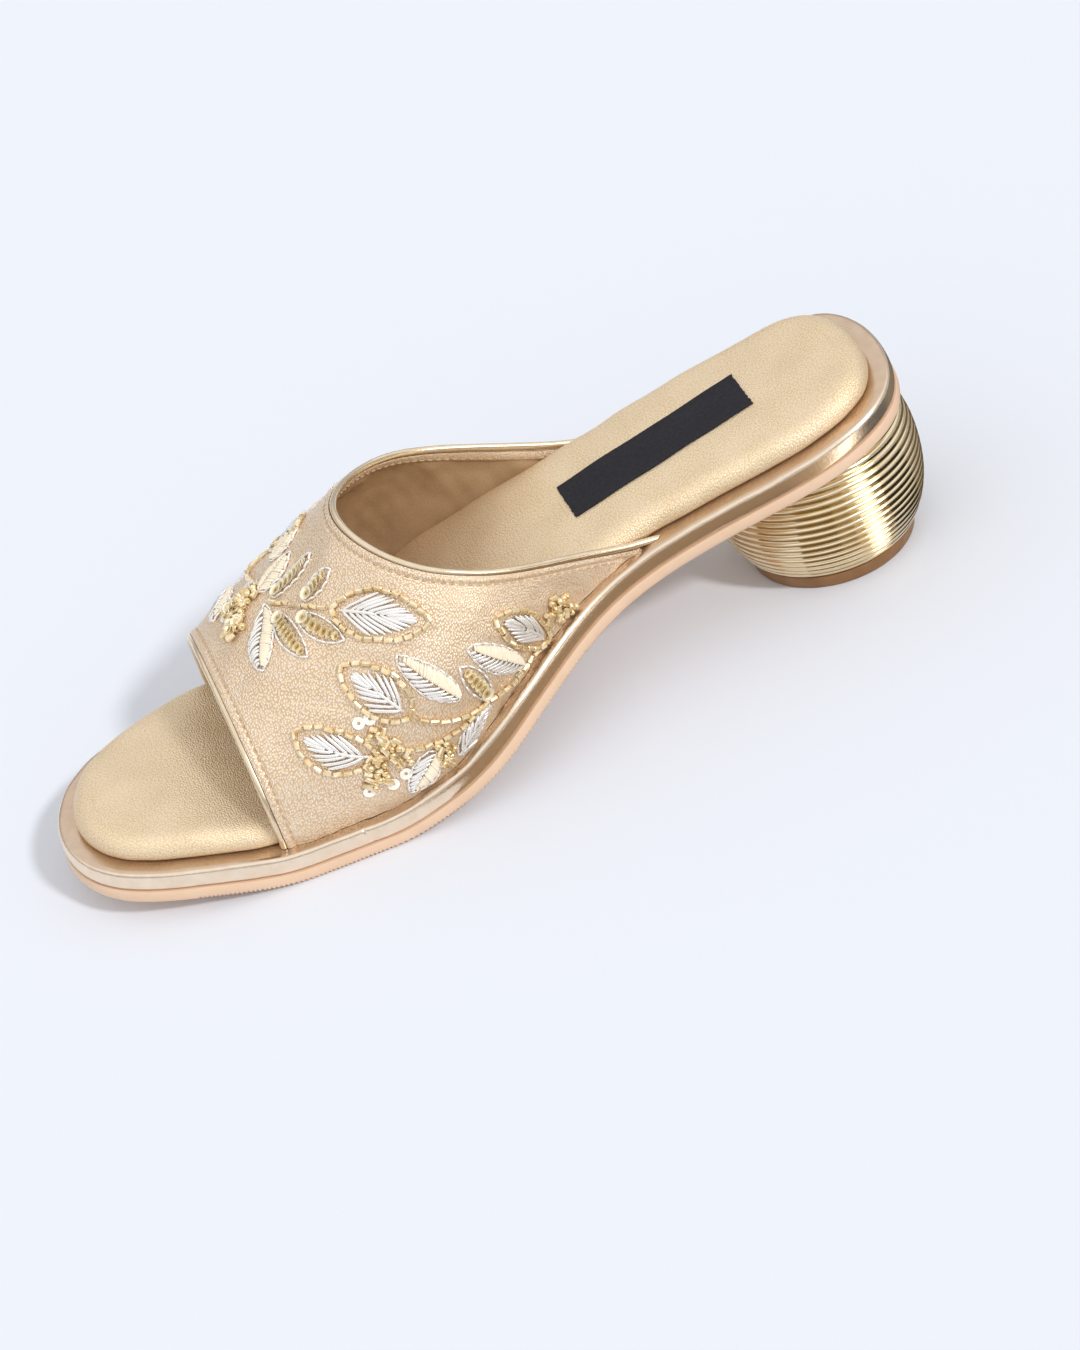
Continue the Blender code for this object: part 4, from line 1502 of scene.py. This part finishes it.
def build_heel():
    """Plated ball of stacked rings: round crests with tight creases between."""
    bottom = TIP_HEIGHT + GAP
    rings = int((seat(0.0)[0] - bottom) / RING_PITCH)
    inside = ball_radius(bottom) - RING_DEPTH
    profile = [(inside - 1.0, bottom), (inside, bottom)]
    for ring in range(rings):
        for share in np.arange(1, RING_STEPS + 1) / RING_STEPS:
            height = bottom + RING_PITCH * (ring + share)
            valley = RING_DEPTH * 1.15 * abs(2 * share - 1) ** 3.2
            profile.append((ball_radius(min(height, BALL_TOP)) - valley, height))
    ends = np.array([[HEEL_STATION - BALL_RADIUS, 0.0], [HEEL_STATION + BALL_RADIUS, 0.0]])
    seat_lift = -SOLE_THICKNESS - HEEL_SEAT_GAP + 0.25
    back, front = (Vector(point) for point in world(lifted(ends, seat_lift)))
    normal = Vector((0.0, front.z - back.z, back.y - front.y)).normalized()

    def trim(builder):
        """Cuts the ball along the outsole and closes it."""
        everything = builder.verts[:] + builder.edges[:] + builder.faces[:]
        cut = bmesh.ops.bisect_plane(builder, geom=everything, dist=1e-7, plane_co=back,
                                     plane_no=normal, clear_outer=True)
        edges = [item for item in cut["geom_cut"] if isinstance(item, bmesh.types.BMEdge)]
        bmesh.ops.contextual_create(builder, geom=edges)

    made = turned("heel_rings", profile, 144 // FINE, MATERIALS["heel"], 65.0, trim)
    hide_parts("heel")


def build_tip():
    """Rubber top piece under the ball, with rounded edges."""
    floor, wide = TIP_FLOOR_RADIUS, ball_radius(TIP_HEIGHT) - 0.2
    profile = [(floor - 3.0, 0.0), (floor - 0.5, 0.0), (floor - 0.1, 0.15), (floor + 0.12, 0.5)]
    for t in np.linspace(0.15, 0.93, 8):
        profile.append((floor + (wide - floor) * t ** 0.85, TIP_HEIGHT * t))
    profile += [(wide - 0.1, TIP_HEIGHT - 0.1), (wide - 0.4, TIP_HEIGHT), (wide - 4.0, TIP_HEIGHT)]
    made = turned("heel_top_piece", profile, 128 // FINE, MATERIALS["tip"], 50.0)
    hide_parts("heel_tip")


# ---------------------------------------------------------------- studio
def stage_sheet(name, corners, height, material):
    """A flat face at a height in metres that isn't part of the shoe."""
    mesh = bpy.data.meshes.new(name)
    mesh.from_pydata([(x, y, height) for x, y in corners], [], [tuple(range(len(corners)))])
    mesh.materials.append(material)
    made = placed(name, mesh)
    return made


def build_floor():
    nodes = Nodes("studio_floor")
    nodes.set(Base_Color=nodes.blend(nodes.clouds(3.0, 1.0), (0.828, 0.860, 0.932),
                                     (0.832, 0.864, 0.936)),
              Roughness=1.0, Specular_IOR_Level=0.0)
    reach = 4.0
    corners = [(-reach, -reach), (reach, -reach), (reach, reach), (-reach, reach)]
    stage_sheet("studio_floor", corners, 0.0, nodes.owner)


SUN_DIRECTION = Vector((0.675, 0.374, 0.636)).normalized()
SOFTBOX_DIRECTION = Vector((0.586, 0.527, 0.616)).normalized()


def build_light(name, kind, direction, distance, **settings):
    """A light that shines from a direction, with its own settings."""
    light = bpy.data.lights.new(name, kind)
    for key, value in settings.items():
        setattr(light, key, value)
    made = placed(name, light)
    made.location = direction * distance
    made.rotation_mode = "QUATERNION"
    made.rotation_quaternion = direction.to_track_quat("Z", "Y")
    return made


def build_lights():
    sun = build_light("key", "SUN", SUN_DIRECTION, 0.0, energy=1.49, angle=math.radians(6.5))
    sun.visible_glossy = False
    softbox = build_light("softbox", "AREA", SOFTBOX_DIRECTION, 1.6, shape="RECTANGLE", size=0.5,
                          size_y=1.3, energy=8.5)
    softbox.visible_diffuse = False


BALL_SPOT = (0.0, 0.0931)
# Cards on the floor round the ball heel, seen only by polished parts: from one bearing to
# another in degrees from the medial side towards the heel, near and far reach, colour, glow.
CARDS = [
    (-75.0, -40.0, 0.045, 0.13, (0.30, 0.19, 0.08), 0.0),
    (-40.0, -8.0, 0.030, 0.50, (0.20, 0.125, 0.05), 0.0),
    (-8.0, 6.0, 0.030, 0.50, (0.34, 0.235, 0.12), 0.0),
    (6.0, 14.0, 0.028, 0.55, (0.60, 0.48, 0.32), 0.0),
    (14.0, 19.0, 0.026, 0.60, (1.0, 0.95, 0.87), 0.5),
    (19.0, 27.0, 0.026, 0.60, (1.0, 0.96, 0.90), 1.3),
    (27.0, 32.0, 0.026, 0.60, (1.0, 0.95, 0.87), 0.45),
    (32.0, 40.0, 0.028, 0.60, (0.30, 0.24, 0.17), 0.0),
    (40.0, 78.0, 0.028, 0.60, (0.035, 0.030, 0.024), 0.0),
    (78.0, 150.0, 0.028, 0.60, (0.16, 0.13, 0.09), 0.0),
]
WAIST_CARD = [(0.052, 0.060), (0.058, -0.010), (0.075, -0.045), (0.20, -0.02), (0.22, 0.10),
              (0.060, 0.075)]
CARD_HEIGHT = 0.0008


def floor_card(name, corners, colour, glow):
    """A flat card just above the floor that only reflections show."""
    nodes = Nodes(name)
    dimmer = tuple(0.85 * part for part in colour)
    painted = nodes.blend(nodes.clouds(12.0, 1.0), colour, dimmer)
    nodes.set(Base_Color=painted, Roughness=0.9, Specular_IOR_Level=0.0,
              Emission_Color=painted, Emission_Strength=glow)
    made = stage_sheet(name, corners, CARD_HEIGHT, nodes.owner)
    for ray in ("camera", "diffuse", "shadow", "transmission"):
        setattr(made, "visible_" + ray, False)


def build_cards():
    for number, (start, stop, near, far, colour, glow) in enumerate(CARDS):
        turn = np.radians(np.linspace(start, stop, 8))
        ring = np.column_stack([np.cos(turn), np.sin(turn)])
        corners = np.vstack([ring * near, ring[::-1] * far]) + BALL_SPOT
        floor_card(f"card_{number}", corners, colour, glow)
    floor_card("waist_card", WAIST_CARD, (0.27, 0.155, 0.055), 0.0)


FILL_SIDE = (0.55, -0.835, 0.0)


def build_world():
    """Even fill light; polished parts see a dimmer room with a bright ceiling."""
    nodes = Nodes("studio", "worlds")
    bpy.context.scene.world = nodes.owner
    nodes.tree.nodes.clear()
    path = nodes.add("ShaderNodeLightPath")
    where = nodes.place("Generated")
    side = nodes.add("ShaderNodeVectorMath", {0: where, 1: FILL_SIDE}, operation="DOT_PRODUCT")
    level = nodes.maths("MULTIPLY", nodes.ramp(side["Value"], -1.0, 1.0, 0.6, 1.4), 0.75)
    fill = nodes.add("ShaderNodeBackground", {"Color": (*WHITE, 1.0), "Strength": level})
    backdrop = nodes.add("ShaderNodeBackground", {"Color": (0.855, 0.888, 0.965, 1.0)})
    heights = nodes.add("ShaderNodeValToRGB", {"Fac": nodes.parts(where)[2]})
    stops = heights[0].node.color_ramp.elements
    stops[0].color = (0.55, 0.55, 0.56, 1.0)
    stops[1].color = (1.0, 1.0, 1.01, 1.0)
    for position, grey in ((0.10, 0.42), (0.30, 0.42), (0.48, 0.97)):
        stops.new(position).color = (grey, grey, grey * 1.02, 1.0)
    room = nodes.add("ShaderNodeBackground", {"Color": heights["Color"]})
    shiny = nodes.add("ShaderNodeMixShader", {0: path["Is Glossy Ray"], 1: fill[0], 2: room[0]})
    seen = nodes.add("ShaderNodeMixShader", {0: path["Is Camera Ray"], 1: shiny[0],
                                             2: backdrop[0]})
    nodes.add("ShaderNodeOutputWorld", {"Surface": seen[0]})


CAMERA_PLACE = Vector((0.84100, -0.09094, 0.61031))
CAMERA_VIEW = Vector((-0.80486, 0.09461, -0.58587))
CAMERA_RIGHT = Vector((0.30698, 0.91125, -0.27457))
CAMERA_LENS = 107.3
CAMERA_SENSOR = 36.0


def build_camera():
    """The photograph's angle to the shoe, rolled as the photograph is."""
    camera = bpy.data.cameras.new("camera")
    camera.sensor_fit = "VERTICAL"
    camera.sensor_height = CAMERA_SENSOR
    camera.lens = CAMERA_LENS
    camera.clip_start = 0.01
    camera.clip_end = 50.0
    back = -CAMERA_VIEW.normalized()
    right = (CAMERA_RIGHT - back * CAMERA_RIGHT.dot(back)).normalized()
    turn = Matrix((right, back.cross(right), back)).transposed().to_4x4()
    made = placed("camera", camera)
    made.matrix_world = Matrix.Translation(CAMERA_PLACE) @ turn
    bpy.context.scene.camera = made


build_vamp()
build_lining()
build_facing()
build_piping("toe_piping", False)
build_piping("topline_piping", True)
build_stitches()
embroider()
build_rand()
build_outsole()
build_pad()
build_label()
build_heel()
build_tip()
build_floor()
build_lights()
build_cards()
build_world()
build_camera()
bpy.context.scene.view_settings.view_transform = "Standard"
